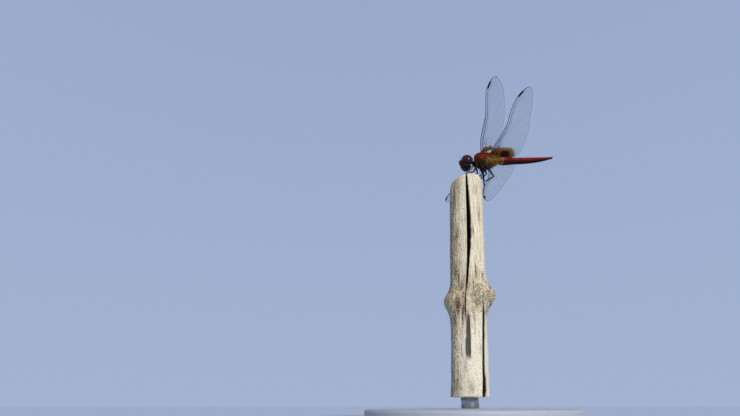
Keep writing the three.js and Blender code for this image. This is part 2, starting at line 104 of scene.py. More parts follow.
# Wing outlines: distance out from the base, distance back from the hinge line.
FOREWING = {
    "hinge": (2.1, 1.9, 2.5), "sweep": (-9.2, -15.2), "rise": (9.8, 6.3), "pitch": 9.3,
    "front": [(0, 0), (4, -0.4), (8, -0.5), (13, 0), (17.8, 0.65), (23, 0.5), (28.5, 0.15), (31.3, 0.4),
              (33.8, 1.3), (35.2, 2.5), (35.7, 3.4)],
    "rear": [(-0.1, 3.2), (0.6, 5.6), (2.4, 7.6), (6.5, 8.8), (11.5, 9.4), (16.5, 9.5), (22, 9.1), (27, 8.3),
             (31, 7.1), (33.8, 5.7), (35.5, 4.2)],
    "stigma": (31.0, 33.7), "nodus": 17.8,
}
HINDWING = {
    "hinge": (-2.2, 1.9, 2.3), "sweep": (7.1, 12.2), "rise": (5.4, 4.9), "pitch": -6.1,
    "front": [(0, 0), (4, 0.4), (8, 0.95), (12, 1.3), (15.4, 1.35), (20, 0.6), (25, 0.1), (28.8, 0.3),
              (31.6, 1.1), (33.5, 2.4), (34.1, 3.3)],
    "rear": [(-0.9, 3.6), (-1, 8.2), (-0.2, 11.8), (2.4, 13.2), (7.5, 12.85), (13, 12.2), (18.5, 10.4),
             (24, 8.7), (28.8, 6.9), (32.2, 5.3), (33.9, 4.0)],
    "stigma": (29.0, 31.7), "nodus": 15.4,
}
CAMBER = 0.03       # height of the arch as a share of the chord
MEMBRANE = 0.03     # thickness
MIDLINE_GAP = 0.13  # how far each wing keeps from the middle plane of the body
PLEAT = 0.07        # how far the long veins stand above or below the membrane's middle
# The long veins, from the front edge back, as (distance out, share of the chord back). A vein that
# branches off another runs along it up to there.
FORE_VEINS = {
    "subcosta": [(0, 0.12), (3, 0.07), (8, 0.066), (14, 0.06), (17.4, 0.03), (17.8, 0)],
    "radius": [(0, 0.28), (3, 0.145), (8, 0.138), (14, 0.135), (17.8, 0.125), (23, 0.112), (28, 0.112),
               (31, 0.13), (33.7, 0.2), (34.6, 0.12), (35.0, 0)],
    "sector_1": [(4.2, 0.235), (8, 0.22), (14, 0.21), (17.8, 0.205), (23, 0.185), (28, 0.19), (31, 0.24),
                 (33.5, 0.42), (35.1, 0.8), (35.5, 1)],
    "sector_2": [(17.8, 0.205), (20, 0.26), (24, 0.34), (28, 0.44), (31.5, 0.60), (33.9, 1)],
    "between_2": [(13, 0.212), (16, 0.30), (20, 0.39), (25, 0.51), (29.5, 0.70), (32.3, 1)],
    "sector_3": [(10.5, 0.216), (15, 0.35), (20, 0.49), (24, 0.62), (28, 0.86), (29.4, 1)],
    "media": [(4.2, 0.28), (8, 0.32), (12, 0.39), (16, 0.49), (20, 0.62), (23.5, 0.84), (24.9, 1)],
    "cubitus": [(0, 0.42), (2, 0.29), (4.2, 0.30), (6, 0.37), (8, 0.46), (10, 0.53), (14, 0.64),
                (17.5, 0.82), (19.8, 1)],
    "anal": [(0, 0.6), (2, 0.40), (4, 0.42), (6, 0.53), (7, 0.60), (9, 0.73), (11.5, 0.88), (13.2, 1)],
}
HIND_VEINS = {
    "subcosta": [(0, 0.03), (3, 0.045), (8, 0.05), (12, 0.05), (15, 0.02), (15.4, 0)],
    "radius": [(0, 0.06), (3, 0.09), (8, 0.1), (15.4, 0.112), (20, 0.112), (26, 0.12), (29, 0.14),
               (31.7, 0.21), (32.8, 0.12), (33.4, 0)],
    "sector_1": [(3.8, 0.145), (8, 0.152), (15.4, 0.178), (20, 0.178), (26, 0.2), (29, 0.26),
                 (31.8, 0.46), (33.4, 0.85), (33.9, 1)],
    "sector_2": [(15.4, 0.178), (18, 0.23), (22, 0.31), (26, 0.42), (29.5, 0.62), (32, 1)],
    "between_2": [(11, 0.165), (15, 0.27), (20, 0.38), (24.5, 0.52), (28, 0.74), (30.2, 1)],
    "sector_3": [(9, 0.156), (13, 0.29), (18, 0.43), (22.5, 0.62), (26, 0.9), (27, 1)],
    "media": [(3.8, 0.17), (8, 0.215), (12, 0.31), (16, 0.44), (19.5, 0.62), (22.3, 0.88), (23.2, 1)],
    "cubitus": [(0, 0.1), (2, 0.14), (3.8, 0.185), (5.2, 0.24), (8, 0.33), (12, 0.48), (15, 0.66),
                (17.5, 0.9), (18.4, 1)],
    "anal": [(0, 0.16), (2, 0.2), (4, 0.23), (5.2, 0.27), (6.5, 0.42), (9, 0.61), (11.5, 0.82),
             (13.2, 1)],
    "loop": [(0, 0.24), (2, 0.28), (3.4, 0.36), (4.3, 0.5), (5.6, 0.68), (7.5, 0.83), (9, 0.93), (10, 1)],
    "anal_2": [(0, 0.36), (1.5, 0.42), (2.6, 0.56), (3.6, 0.74), (4.6, 0.9), (5.6, 1)],
}
# Widths of the veins and edges where they start and where they end.
VEIN_WIDTHS = {
    "subcosta": (0.16, 0.1), "radius": (0.32, 0.16), "sector_1": (0.17, 0.09), "media": (0.17, 0.07),
    "cubitus": (0.3, 0.06), "anal": (0.2, 0.06),
}
OTHER_VEINS, FRONT_EDGE, REAR_EDGE = (0.09, 0.05), (0.34, 0.2), (0.05, 0.11)
TIP_EDGE, ROOT_EDGE, ARCULUS = 0.13, 0.12, 0.18
CELL_WALL = {"width": 0.022, "more_at_base": 0.02, "base": 8}
# Lengths of the cells in the first three fields from the front edge, and in all of those behind them.
CELL_LENGTHS = (2.2, 2.2, 1.5, 1.0)
CELL_DEPTH = 0.92     # of a cell, as a share of its length
NARROWEST_FIELD = 0.12
STIGMA = {"half_thickness": 0.13, "skew": 0.12}
# The fold of skin behind a hindwing: its stretch back from the hinge, its foot and its bulge.
FOLD = {"from": 0.8, "to": 9.5, "foot_out": 0.25, "foot_sunk": 0.2, "bulge": 0.15, "half_thickness": 0.02}

# Each leg: hip in the body frame, then knee, ankle and toe tip in the frame of the row.
LEGS = {
    "front_left": ((5.4, 0.9, -3.7), (9.0, -2.3, 99.5), (5.9, -2.2, 98.3), (4.3, -1.8, 98.0)),
    "mid_left": ((3.3, 1.0, -5.2), (13.9, 1.3, 94.1), (13.4, 3.8, 91.6), (12.6, 5.0, 90.4)),
    "hind_left": ((1.7, 1.5, -5.3), (17.0, -3.9, 96.3), (14.1, -1.3, 95.4), (12.7, -2.1, 96.0)),
    "front_right": ((5.4, -0.9, -3.7), (11.6, 1.6, 101.0), (10.6, 1.1, 98.9), (8.8, 0.7, 98.3)),
    "mid_right": ((3.4, -1.0, -5.2), (14.5, 3.9, 101.7), (11.7, 3.2, 98.9), (9.9, 2.9, 98.4)),
    "hind_right": ((1.4, -1.5, -5.3), (16.8, 6.2, 102.6), (12.3, 6.0, 98.9), (10.4, 5.0, 98.4)),
}
COXA_LENGTH = 1.3
THIGH_BOW, CLAW_SPREAD = 0.12, 0.2
HIP_BALL, KNEE_BALL = 0.32, 0.26
# How the radius of each part of a leg runs, as (share of its length, radius).
HIP = [(0, 0.5), (0.5, 0.5), (0.85, 0.38), (1, 0.28)]
THIGH = [(0, 0.24), (0.12, 0.38), (0.5, 0.35), (0.9, 0.29), (1, 0.26)]
SHIN = [(0, 0.24), (0.15, 0.22), (0.9, 0.18), (1, 0.18)]
FOOT_JOINT = [(0, 0.09), (0.7, 0.13), (1, 0.1)]
CLAW = [(0, 0.06), (1, 0.012)]
FOOT_SHARES = (0, 0.2, 0.45, 0.86)  # where the joints of the foot are
THIGH_SPINES = {"every": 0.55, "length": 0.3, "lean": 0.9, "sides": (70, 250)}
SHIN_SPINES = {"every": 0.38, "length": 0.8, "lean": 1.0, "sides": (60, 120, 240, 300)}
SPINE = (0.045, 0.032, 0.008)       # radius at root, middle and tip

PERCH = {
    "bottom": 9, "top": 97.4, "radius": 7.1, "lean": 0.067, "lean_from": 6, "top_fall": 0.1,
    "fall_height": 12, "shoulder": 5.5, "top_share": 0.62,
}
# Swellings of the stick: bearing about its axis, height, reach out, spread round in radians, spread up.
SWELLINGS = [(180, 43.6, 2.7, 0.75, 4.2), (-22, 45.5, 3.2, 0.5, 4.6), (-62, 45.0, 0.8, 0.42, 3.2),
             (40, 41.0, 1.0, 0.7, 5.0)]
RIBS = [(3, 0.18, 0.04), (7, 0.12, -0.02)]  # count, depth, winding
# Drying cracks in the front: depth, darkness, then [height, middle, half width] up each. The darkness is
# painted shade inside a deep crack and a dark stain along a shallow one.
CRACKS = [
    (5.5, 1.0, [(33, -0.2, 0.0), (37, -0.2, 0.14), (39.8, -0.14, 0.15), (47.4, 0.72, 0.16),
                (50.5, 1.3, 0.34), (58.5, 2.5, 0.5), (68.4, 3.55, 0.74), (73.5, 3.92, 0.8),
                (78.7, 4.2, 0.74), (84, 4.32, 0.64), (89.5, 4.5, 0.5), (94.1, 4.57, 0.36),
                (97, 4.78, 0.34), (100, 5.0, 0.34)]),
    (0.3, 0.88, [(20.4, -0.45, 0.4), (22.3, -0.33, 0.62), (24.7, -0.21, 0.7), (28.9, 0.14, 0.68),
                 (33.2, 0.49, 0.52), (36.5, 0.68, 0.4), (39.2, 0.6, 0.3)]),
    (0.9, 0.98, [(8, 4.05, 0.5), (9.9, 4.45, 0.65), (11.8, 4.8, 0.75), (14.5, 4.98, 0.62),
                 (17.8, 5.05, 0.5), (26.4, 5.8, 0.48), (35.4, 6.7, 0.5), (39.1, 6.95, 0.42),
                 (41.9, 7.0, 0.2)]),
]
SHALLOW = 0.5  # a crack less deep than this is a broad worn furrow with soft edges
# Stains of the stick: bearing, height, spread round in degrees, spread up, strength.
STAINS = [(-150, 86, 14, 5, 0.7), (-140, 70, 14, 4, 0.7), (-128, 64, 10, 4, 0.5), (-140, 54, 18, 5, 0.8),
          (-120, 48, 10, 6, 0.8), (-134, 41, 12, 6, 1.0), (-112, 41, 7, 7, 0.9), (-150, 44, 8, 7, 0.6),
          (-81, 70.5, 2.5, 3.2, 1.2), (-86, 49, 3, 3.5, 1.0), (-57, 78, 4, 4.5, 0.8), (-30, 82, 12, 9, 0.5),
          (-46, 12, 9, 3.5, 1.2), (-140, 14, 14, 5, 0.6), (-96, 12, 12, 3, 0.7), (-75, 41, 5, 2, 0.7),
          (-52, 53, 5, 2, 0.8), (-40, 50, 6, 2, 0.7), (150, 60, 30, 20, 0.5), (60, 30, 25, 16, 0.5),
          (90, 80, 20, 9, 0.5), (-62, 89, 6, 3, 0.6), (-36, 92, 8, 4, 0.6), (-128, 88, 5, 5, 0.7),
          (-76, 54, 3, 4.5, 1.1), (-118, 38, 4, 6, 1.2), (-146, 36, 6, 5, 0.9), (-132, 51, 5, 6, 1.0),
          (-48, 14, 4, 6, 0.8), (-110, 19, 6, 3, 0.6)]
# Fine cracks from the top down: bearing at the top, bearing at the end, height of the end.
HAIR_CRACKS = [(-80, -73, 86), (-68, -66, 84), (-52, -56, 89), (-125, -128, 88), (20, 14, 74), (70, 74, 80),
               (140, 146, 70), (-150, -146, 80)]
# Lumps of the knot: bearing, height, spread round in degrees, spread up, how brown.
KNOTS = [(-66, 45.0, 19, 3.4, 0.35), (-27, 43.6, 15, 5.0, 0.8)]
# Where the stick is weathered: past each of two bearings, fading in over so many degrees, and in a band
# at the height of the knot.
WORN = {"left_of": -102, "fade": (4, 50), "right_of": 90, "far_fade": (0, 60), "knot": 45, "band": 9}
# Smooth noises over the stick: how many waves go round it and up it, and the seed.
NOISES = {"coarse": (12, 16, 1), "fibres": (90, 12, 2), "threads": (230, 36, 3), "grit": (240, 420, 4),
          "pits": (110, 190, 5)}
CRACK_WOBBLE = (1, 60, 8)  # the same for the edges of the drying cracks, up the stick alone
NOISE_HEIGHT = 89          # what the noises run over
MM_PER_DEGREE = 0.124      # round the stick's surface
# The torn fibres of the tip: waves across it, height and seed of each noise.
TORN_FIBRES = ((34, 0.22, 31), (90, 0.12, 32))
TORN_TIP = {"width": 16, "sunk": 0.3}
STAND = {"radius": 38, "height": 5, "edge": 1.2, "rod_radius": 3.2, "rod_gap": 0.2, "rod_edge": 0.25}

CAMERA = {"position": (-35.9, -184, 6), "pitch": 22.8, "lens": 22.91, "sensor": 36, "clip": (0.005, 30)}
LAMP = {"from": (215, -580, 470), "towards": (6, 0, 80), "spread": 11, "strength": 2.6,
        "tint": (1.0, 0.96, 0.9)}
SKY = {"low": (163, 180, 210), "high": (152, 169, 204), "high_at": 0.72, "fill": (205, 214, 232),
       "fill_strength": 0.27}
FLOOR = {"half": 6.0, "tint": (196, 212, 242)}  # metres


# ------------------------------------------------------------------ frames

def rotation(axis, angle):
    """The matrix that turns about one axis, in degrees."""
    turn = np.eye(3)
    a, b = [(1, 2), (2, 0), (0, 1)][axis]
    sine, cosine = np.sin(np.radians(angle)), np.cos(np.radians(angle))
    turn[a, a] = turn[b, b] = cosine
    turn[a, b], turn[b, a] = -sine, sine
    return turn


class Frame:
    """A place and a turn in another frame."""

    def __init__(self, origin=(0, 0, 0), turn=None, within=None):
        self.origin = np.array(origin, float)
        self.turn = np.eye(3) if turn is None else turn
        if within:
            self.origin = within.out(self.origin)
            self.turn = within.turn @ self.turn

    def out(self, points):
        return np.asarray(points, float) @ self.turn.T + self.origin

    def into(self, points):
        return (np.asarray(points, float) - self.origin) @ self.turn


UP = np.array([0, 0, 1.0])
ROW = Frame()
BODY_FRAME = Frame(BODY["position"], rotation(2, BODY["heading"]) @ rotation(1, BODY["nose_down"])
                   @ rotation(0, BODY["roll"]))
HEAD_FRAME = Frame(HEAD["position"], rotation(1, HEAD["nose_down"]) @ rotation(0, HEAD["roll"]), BODY_FRAME)


# ------------------------------------------------------------------ shapes

def on_side(point, side):
    """A point written for the left side, on either side."""
    return point[0], side * point[1], point[2]


def unit(vectors):
    return vectors / np.maximum(np.linalg.norm(vectors, axis=-1, keepdims=True), 1e-9)


def smooth(value, low, high):
    """0 below low, 1 above high, and an even curve between."""
    t = np.clip((value - low) / (high - low), 0, 1)
    return t * t * (3 - 2 * t)


def bell(value, width):
    return np.exp(-(value / width) ** 2)


def spoke(side, other, angle):
    """The direction at an angle, in radians, round from one side towards the other."""
    return np.cos(angle) * side + np.sin(angle) * other


def grid_faces(rows, columns):
    """Four-cornered faces between the points of a grid, which closes on itself round its columns."""
    i, j = np.meshgrid(np.arange(rows - 1), np.arange(columns), indexing="ij")
    k = (j + 1) % columns
    return np.stack([i * columns + j, i * columns + k, (i + 1) * columns + k, (i + 1) * columns + j],
                    axis=-1).reshape(-1, 4)


def closed(rings):
    """Rings of points closed to a skin, with a point at the middle of each end ring."""
    rows, columns = rings.shape[:2]
    points = np.concatenate([rings.reshape(-1, 3), [rings[0].mean(0)], [rings[-1].mean(0)]])
    j = np.arange(columns)
    k = (j + 1) % columns
    first, last = rows * columns, rows * columns + 1
    foot = (rows - 1) * columns
    caps = np.concatenate([np.stack([np.full(columns, first), k, j], 1),
                           np.stack([np.full(columns, last), foot + j, foot + k], 1)])
    return points, [grid_faces(rows, columns), caps]


def shell(upper, lower):
    """A closed skin over both faces of a thin sheet, each a grid of points."""
    return closed(np.concatenate([upper, lower[:, ::-1]], axis=1))


def joined(parts):
    """Several (points, faces) as one."""
    points, faces, count = [], [], 0
    for part_points, part_faces in parts:
        points.append(part_points)
        faces += [part + count for part in part_faces]
        count += len(part_points)
    return np.concatenate(points), faces


def lathe(profile, sides):
    """A skin turned about Z from (radius, height) pairs."""
    angle = np.linspace(0, 2 * np.pi, sides, endpoint=False)
    radius, height = profile[:, :1], np.repeat(profile[:, 1:], sides, 1)
    return closed(np.stack([radius * np.cos(angle), radius * np.sin(angle), height], -1))


def oval(centre, radii, tilt, columns, rows):
    """An ellipsoid with its poles on Z, tilted about X."""
    down = np.linspace(0.02, np.pi - 0.02, rows)[::-1]
    points, faces = lathe(np.stack([np.sin(down), np.cos(down)], 1), columns)
    return (points * np.array(radii)) @ rotation(0, tilt).T + np.array(centre), faces


def ball(centre, radius, columns=20, rows=14):
    return oval(centre, (radius, radius, radius), 0, columns, rows)


def bend(left, right, slope_left, slope_right, t):
    """The smooth curve from left to right as t goes from 0 to 1, with its slopes at both ends."""
    h = t * t * (3 - 2 * t)
    return left * (1 - h) + right * h + slope_left * t * (1 - t) ** 2 - slope_right * t * t * (1 - t)


def along(path, steps):
    """More points along a path, on a smooth curve through it."""
    path = np.asarray(path, float)
    last = len(path) - 1
    places = np.linspace(0, last, steps)
    i = np.minimum(places.astype(int), last - 1)
    before, left, right, after = [path[np.clip(i + k, 0, last)] for k in (-1, 0, 1, 2)]
    return bend(left, right, (right - before) / 2, (after - left) / 2, (places - i)[:, None])


def section(stations, places):
    """Sections read between their stations by a smooth curve through them, as (count, values)."""
    table = np.array(stations, float)
    last = len(table) - 1
    i = np.clip(np.searchsorted(table[:, 0], places) - 1, 0, last - 1)
    before, left, right, after = [table[np.clip(i + k, 0, last)] for k in (-1, 0, 1, 2)]
    step = right[:, :1] - left[:, :1]
    slope_left = (right - before) / (right[:, :1] - before[:, :1])
    slope_right = (after - left) / (after[:, :1] - left[:, :1])
    t = np.clip((places[:, None] - left[:, :1]) / step, 0, 1)
    return bend(left, right, step * slope_left, step * slope_right, t)


def tube(path, radii, sides):
    """A closed tube along a path, with its rings carried on from one to the next without a twist."""
    path, radii = np.asarray(path, float), np.asarray(radii, float)
    heading = unit(np.gradient(path, axis=0))
    helper = np.eye(3)[np.argmin(np.abs(heading[0]))]
    side = unit(np.cross(heading[0], helper))
    rings = []
    angle = np.linspace(0, 2 * np.pi, sides, endpoint=False)[:, None]
    for centre, way, radius in zip(path, heading, radii):
        side = unit(side - way * (side @ way))
        rings.append(centre + radius * spoke(side, np.cross(way, side), angle))
    return closed(np.array(rings))


def tapered(path, steps, profile):
    """A smooth line through a path and its radius at each point, read from (share, radius) pairs."""
    return along(path, steps), np.interp(np.linspace(0, 1, steps), *np.transpose(profile))


def struts(starts, ends, width):
    """Many straight square bars at once."""
    way = unit(ends - starts)
    half = width[:, None] / 2
    side = unit(np.cross(way, UP)) * half
    rise = unit(np.cross(side, way)) * half
    corners = [end + a * side + b * rise for end in (starts, ends)
               for a, b in ((1, 1), (-1, 1), (-1, -1), (1, -1))]
    points = np.stack(corners, 1).reshape(-1, 3)
    box = np.array([(0, 1, 2, 3), (7, 6, 5, 4), (0, 4, 5, 1), (1, 5, 6, 2), (2, 6, 7, 3), (3, 7, 4, 0)])
    return points, [(np.arange(len(starts))[:, None, None] * 8 + box).reshape(-1, 4)]


HAIR_POINTS = 7  # two rings of three and a tip


def hairs(roots, ways, lengths, width, droop):
    """Many bent, three-sided hairs. droop is how far each one's tip leans, as a vector."""
    helper = unit(np.cross(ways, np.array([0.31, 0.84, 0.44])))
    other = np.cross(ways, helper)
    lengths = lengths[:, None]
    middle = roots + ways * lengths * 0.5 + droop * lengths * 0.12
    tip = roots + ways * lengths * 0.9 + droop * lengths * 0.45
    rings = [centre + spoke(helper, other, angle) * radius
             for centre, radius in ((roots - ways * 0.05, width / 2), (middle, width / 3))
             for angle in np.radians((0, 120, 240))]
    points = np.stack([*rings, tip], 1).reshape(-1, 3)
    start = np.arange(len(roots))[:, None, None] * HAIR_POINTS
    quads = np.array([(0, 1, 4, 3), (1, 2, 5, 4), (2, 0, 3, 5)])
    tips = np.array([(3, 4, 6), (4, 5, 6), (5, 3, 6), (0, 2, 1)])
    return points, [(start + quads).reshape(-1, 4), (start + tips).reshape(-1, 3)]


def normals_of(rings):
    """Outward directions of a grid of points whose columns close on themselves."""
    around = np.roll(rings, -1, 1) - np.roll(rings, 1, 1)
    return unit(np.cross(around, np.gradient(rings, axis=0)))


def lattice(u, v, columns, rows, seed):
    """Smooth noise from -1 to 1 over a grid of values. u and v run from 0 to 1, and u goes round."""
    values = np.random.default_rng(seed).uniform(-1, 1, (columns, rows + 2))
    x, y = (u % 1) * columns, np.clip(v, 0, 1) * rows
    i, j = np.floor(x).astype(int) % columns, np.floor(y).astype(int)
    a, b = smooth(x - np.floor(x), 0, 1), smooth(y - j, 0, 1)
    near = values[i, j] * (1 - b) + values[i, j + 1] * b
    far = values[(i + 1) % columns, j] * (1 - b) + values[(i + 1) % columns, j + 1] * b
    return near * (1 - a) + far * a


class Relief:
    """How far a skin stands out at each point, and how much of a dark seam each point is."""

    def __init__(self, like):
        self.out, self.seam = np.zeros_like(like), np.zeros_like(like)

    def raised(self, where, height):
        """A swelling, or a dent if its height is below 0."""
        self.out += height * where

    def darkened(self, where, dark):
        self.seam = np.maximum(self.seam, dark * where)

    def cut(self, where, depth, dark=1.0):
        """A groove with its depth and how dark it looks."""
        self.raised(where, -depth)
        self.darkened(where, dark)


# ------------------------------------------------------------------ pieces

def placed(name, data):
    """A new object in the scene."""
    made = bpy.data.objects.new(name, data)
    bpy.context.scene.collection.objects.link(made)
    return made


def piece(name, shape, paint, place=ROW, stands_for=(), marks=None):
    """A piece from points and faces, in the frame that they are written in. It carries those points along
    as the attribute 'own', in millimetres, and any marks as further ones, for its paint."""
    points, faces = shape
    mesh = bpy.data.meshes.new(name)
    starts = np.concatenate([[0], np.cumsum(np.concatenate([np.full(len(f), f.shape[1]) for f in faces]))])
    corners = np.concatenate([f.ravel() for f in faces])
    mesh.vertices.add(len(points))
    mesh.vertices.foreach_set("co", (place.out(points) * MM).ravel())
    mesh.loops.add(len(corners))
    mesh.loops.foreach_set("vertex_index", corners.astype(np.int32))
    mesh.polygons.add(len(starts) - 1)
    mesh.polygons.foreach_set("loop_start", starts[:-1].astype(np.int32))
    mesh.polygons.foreach_set("use_smooth", np.ones(len(starts) - 1, bool))
    mesh.update(calc_edges=True)
    mesh.validate()
    own = mesh.attributes.new("own", "FLOAT_VECTOR", "POINT")
    own.data.foreach_set("vector", np.asarray(points, float).ravel())
    for key, values in (marks or {}).items():
        mark = mesh.attributes.new(key, "FLOAT", "POINT")
        mark.data.foreach_set("value", np.asarray(values, float).ravel())
    mesh.materials.append(paint)
    made = placed(name, mesh)
    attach(made, "root")
    if stands_for:
        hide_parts(*stands_for)
    return made


def hair_piece(name, shape, paint, place, unwrap):
    """A coat of hairs, each with its own small patch of the skin's unwrap, as the map OFBake."""
    made = piece(name, shape, paint, place)
    layer = made.data.uv_layers.new(name="OFBake")
    corner = np.zeros(len(made.data.loops), np.int32)
    made.data.loops.foreach_get("vertex_index", corner)
    hair, part = corner // HAIR_POINTS, corner % HAIR_POINTS
    spread = np.stack([part % 3, part // 3], 1) * 0.001
    layer.data.foreach_set("uv", (0.005 + 0.985 * unwrap[hair] + spread).astype(np.float32).ravel())


# ------------------------------------------------------------------ paints

def colour(red, green, blue):
    """A colour as it looks on screen, from 0 to 255, as the linear numbers that nodes take."""
    share = np.array([red, green, blue]) / 255
    return (*np.where(share <= 0.04045, share / 12.92, ((share + 0.055) / 1.055) ** 2.4), 1)


class Nodes:
    """Short words for the nodes of a tree. A value is a number, a colour or another node's socket."""

    def __init__(self, tree):
        self.tree = tree

    def feed(self, socket, value):
        if isinstance(value, bpy.types.NodeSocket):
            self.tree.links.new(value, socket)
        else:
            socket.default_value = value

    def node(self, kind, inputs, output=0, **settings):
        made = self.tree.nodes.new("ShaderNode" + kind)
        for key, value in settings.items():
            setattr(made, key, value)
        for key, value in inputs.items():
            self.feed(made.inputs[key], value)
        return made.outputs[output]

    def parts(self, vector):
        split = self.tree.nodes.new("ShaderNodeSeparateXYZ")
        self.feed(split.inputs[0], vector)
        return split.outputs

    def math(self, operation, *values):
        return self.node("Math", dict(enumerate(values)), operation=operation)

    def add(self, a, b):
        return self.math("ADD", a, b)

    def times(self, a, b):
        return self.math("MULTIPLY", a, b)

    def mix(self, low, high, share):
        return self.node("Mix", {0: share, 6: low, 7: high}, 2, data_type="RGBA")

    def layers(self, base, *layers):
        """Colours laid one over another, each as (colour, where it is, how strong it is)."""
        for tint, share, strength in layers:
            base = self.mix(base, tint, self.times(share, strength) if strength < 1 else share)
        return base


class Paint(Nodes):
    """A material with one Principled shader. Its noises and shapes lie in the piece's own frame."""

    def __init__(self, name, **sockets):
        self.material = bpy.data.materials.new(name)
        self.material.use_nodes = True
        super().__init__(self.material.node_tree)
        self.surface = self.tree.nodes["Principled BSDF"]
        for socket, value in sockets.items():
            self.feed(self.surface.inputs[socket.replace("_", " ")], value)
        self.own = self.node("Attribute", {}, "Vector", attribute_name="own")
        self.x, self.y, self.z = self.parts(self.own)

    def mark(self, name):
        return self.node("Attribute", {}, "Fac", attribute_name=name)

    def noise(self, scale, detail, stretch=(1, 1, 1)):
        moved = self.node("Mapping", {"Vector": self.own, "Scale": stretch})
        return self.node("TexNoise", {"Vector": moved, "Scale": scale, "Detail": detail})

    def step(self, value, low, high):
        """A smooth step of a value, up from low to high or down from high to low."""
        inputs = {"Value": value, "From Min": min(low, high), "From Max": max(low, high)}
        inputs |= {"To Min": 0, "To Max": 1} if low < high else {"To Min": 1, "To Max": 0}
        return self.node("MapRange", inputs, interpolation_type="SMOOTHSTEP")

    def near(self, vector, centre, radii, soft):
        """1 inside an oval about a centre and 0 outside it."""
        offset = self.node("VectorMath", {0: vector, 1: centre}, operation="SUBTRACT")
        share = self.node("VectorMath", {0: offset, 1: radii}, operation="DIVIDE")
        length = self.node("VectorMath", {0: share}, "Value", operation="LENGTH")
        return self.step(length, 1 + soft, 1 - soft)

    def bump(self, height, distance, strength):
        """Raises the surface by a height, in millimetres at its full value."""
        self.feed(self.surface.inputs["Normal"], self.node(
            "Bump", {"Height": height, "Distance": distance * MM, "Strength": strength}))

    def finish(self, base):
        self.feed(self.surface.inputs["Base Color"], base)
        return self.material


ORANGE_RED, RUST, OCHRE = colour(152, 38, 10), colour(98, 22, 10), colour(170, 126, 44)
BROWN, NEAR_BLACK, PALE = colour(54, 34, 18), colour(16, 9, 8), colour(196, 170, 120)
# The third abdomen colour is painted shade: a darker red for the lower sides.
ABDOMEN_RED, ABDOMEN_DEEP, ABDOMEN_FLANK_SHADE = colour(132, 16, 12), colour(96, 10, 9), colour(92, 10, 10)
HAIR_DARK, HAIR_FAWN, HAIR_RUST = colour(58, 42, 20), colour(140, 110, 52), colour(112, 46, 18)
# The second face colour is painted shade for the lower face.
FACE_RED, FACE_SHADE = colour(100, 20, 22), colour(46, 11, 14)
EYE_TOP, EYE_LOW, EYE_PALE = colour(42, 7, 14), colour(62, 17, 12), colour(30, 28, 20)
SMALL_EYE, FEELER_BLACK, BRISTLE = colour(120, 84, 50), colour(18, 12, 11), colour(26, 16, 13)
CAPSULE_BLACK, TAIL_BLACK, LEG_BLACK = colour(22, 12, 11), colour(30, 10, 9), colour(8, 7, 11)
VEIN_RED, VEIN_GREY, VEIN_BLACK = colour(92, 34, 18), colour(34, 26, 24), colour(20, 16, 16)
AMBER, OLIVE, MAROON = colour(186, 118, 34), colour(176, 142, 42), colour(60, 18, 14)
CLEAR_SKIN, STIGMA_BLACK, FOLD_BROWN = colour(196, 200, 204), colour(30, 12, 10), colour(112, 70, 24)
WOOD = {
    "pale": colour(230, 216, 184), "cream": colour(248, 240, 216), "bleached": colour(250, 243, 224),
    "mottled": colour(196, 172, 128), "lines": colour(150, 134, 108), "bruised": colour(146, 116, 70),
    "dots": colour(84, 62, 38), "flakes": colour(78, 58, 38), "stained": colour(150, 124, 88),
    # hollow is painted shade in the hollows round the knots, in the fine cracks and in the open grain
    "stained_dark": colour(64, 46, 32), "knot": colour(112, 88, 56), "hollow": colour(70, 56, 42),
    # painted shade in the deep cracks, and the dark stain along the shallow furrow
    "crack": colour(16, 11, 8),
}
SATIN_LOW, SATIN_HIGH = colour(172, 179, 192), colour(184, 190, 202)
STEEL_LOW, STEEL_HIGH = colour(150, 155, 162), colour(184, 188, 194)


def thorax_colours(paint, cloud):
    """Orange-red above and in front, ochre blotched with brown at the side and brown below, with a black
    spot in an ochre arc in a black ring on each side, and a black breast."""
    wander = paint.times(paint.add(cloud, -0.5), 3.4)
    slant = paint.add(paint.add(paint.z, paint.times(paint.x, 0.5)), wander)
    blotch = paint.times(paint.step(paint.noise(1.3, 4), 0.46, 0.58), 0.95)
    above = paint.step(paint.add(paint.z, wander), -4.4, -3.2)
    side = paint.node("CombineXYZ", {"X": paint.x, "Y": paint.math("ABSOLUTE", paint.y), "Z": paint.z})
    ring = paint.near(side, (2.5, 2.4, -3.6), (1.9, 2.6, 2.0), 0.3)
    arc = paint.near(side, (2.15, 2.6, -3.6), (1.15, 2.4, 1.25), 0.15)
    spot = paint.near(side, (2.5, 2.6, -3.6), (1.15, 2.2, 1.3), 0.2)
    breast = paint.times(paint.step(paint.x, 3.2, 4.2), paint.step(paint.z, 0.4, -1.4))
    return paint.layers(
        BROWN,
        (paint.mix(OCHRE, BROWN, blotch), above, 1),
        (RUST, paint.step(slant, -1.7, -0.9), 1),
        (ORANGE_RED, paint.step(slant, -0.8, 0.2), 1),
        (RUST, paint.times(blotch, paint.step(slant, -1.2, 0.0)), 1),
        (NEAR_BLACK, paint.times(ring, paint.step(paint.z, -0.8, -1.8)), 0.9),
        (OCHRE, arc, 0.8),
        (NEAR_BLACK, spot, 0.95),
        (NEAR_BLACK, breast, 0.9),
    )


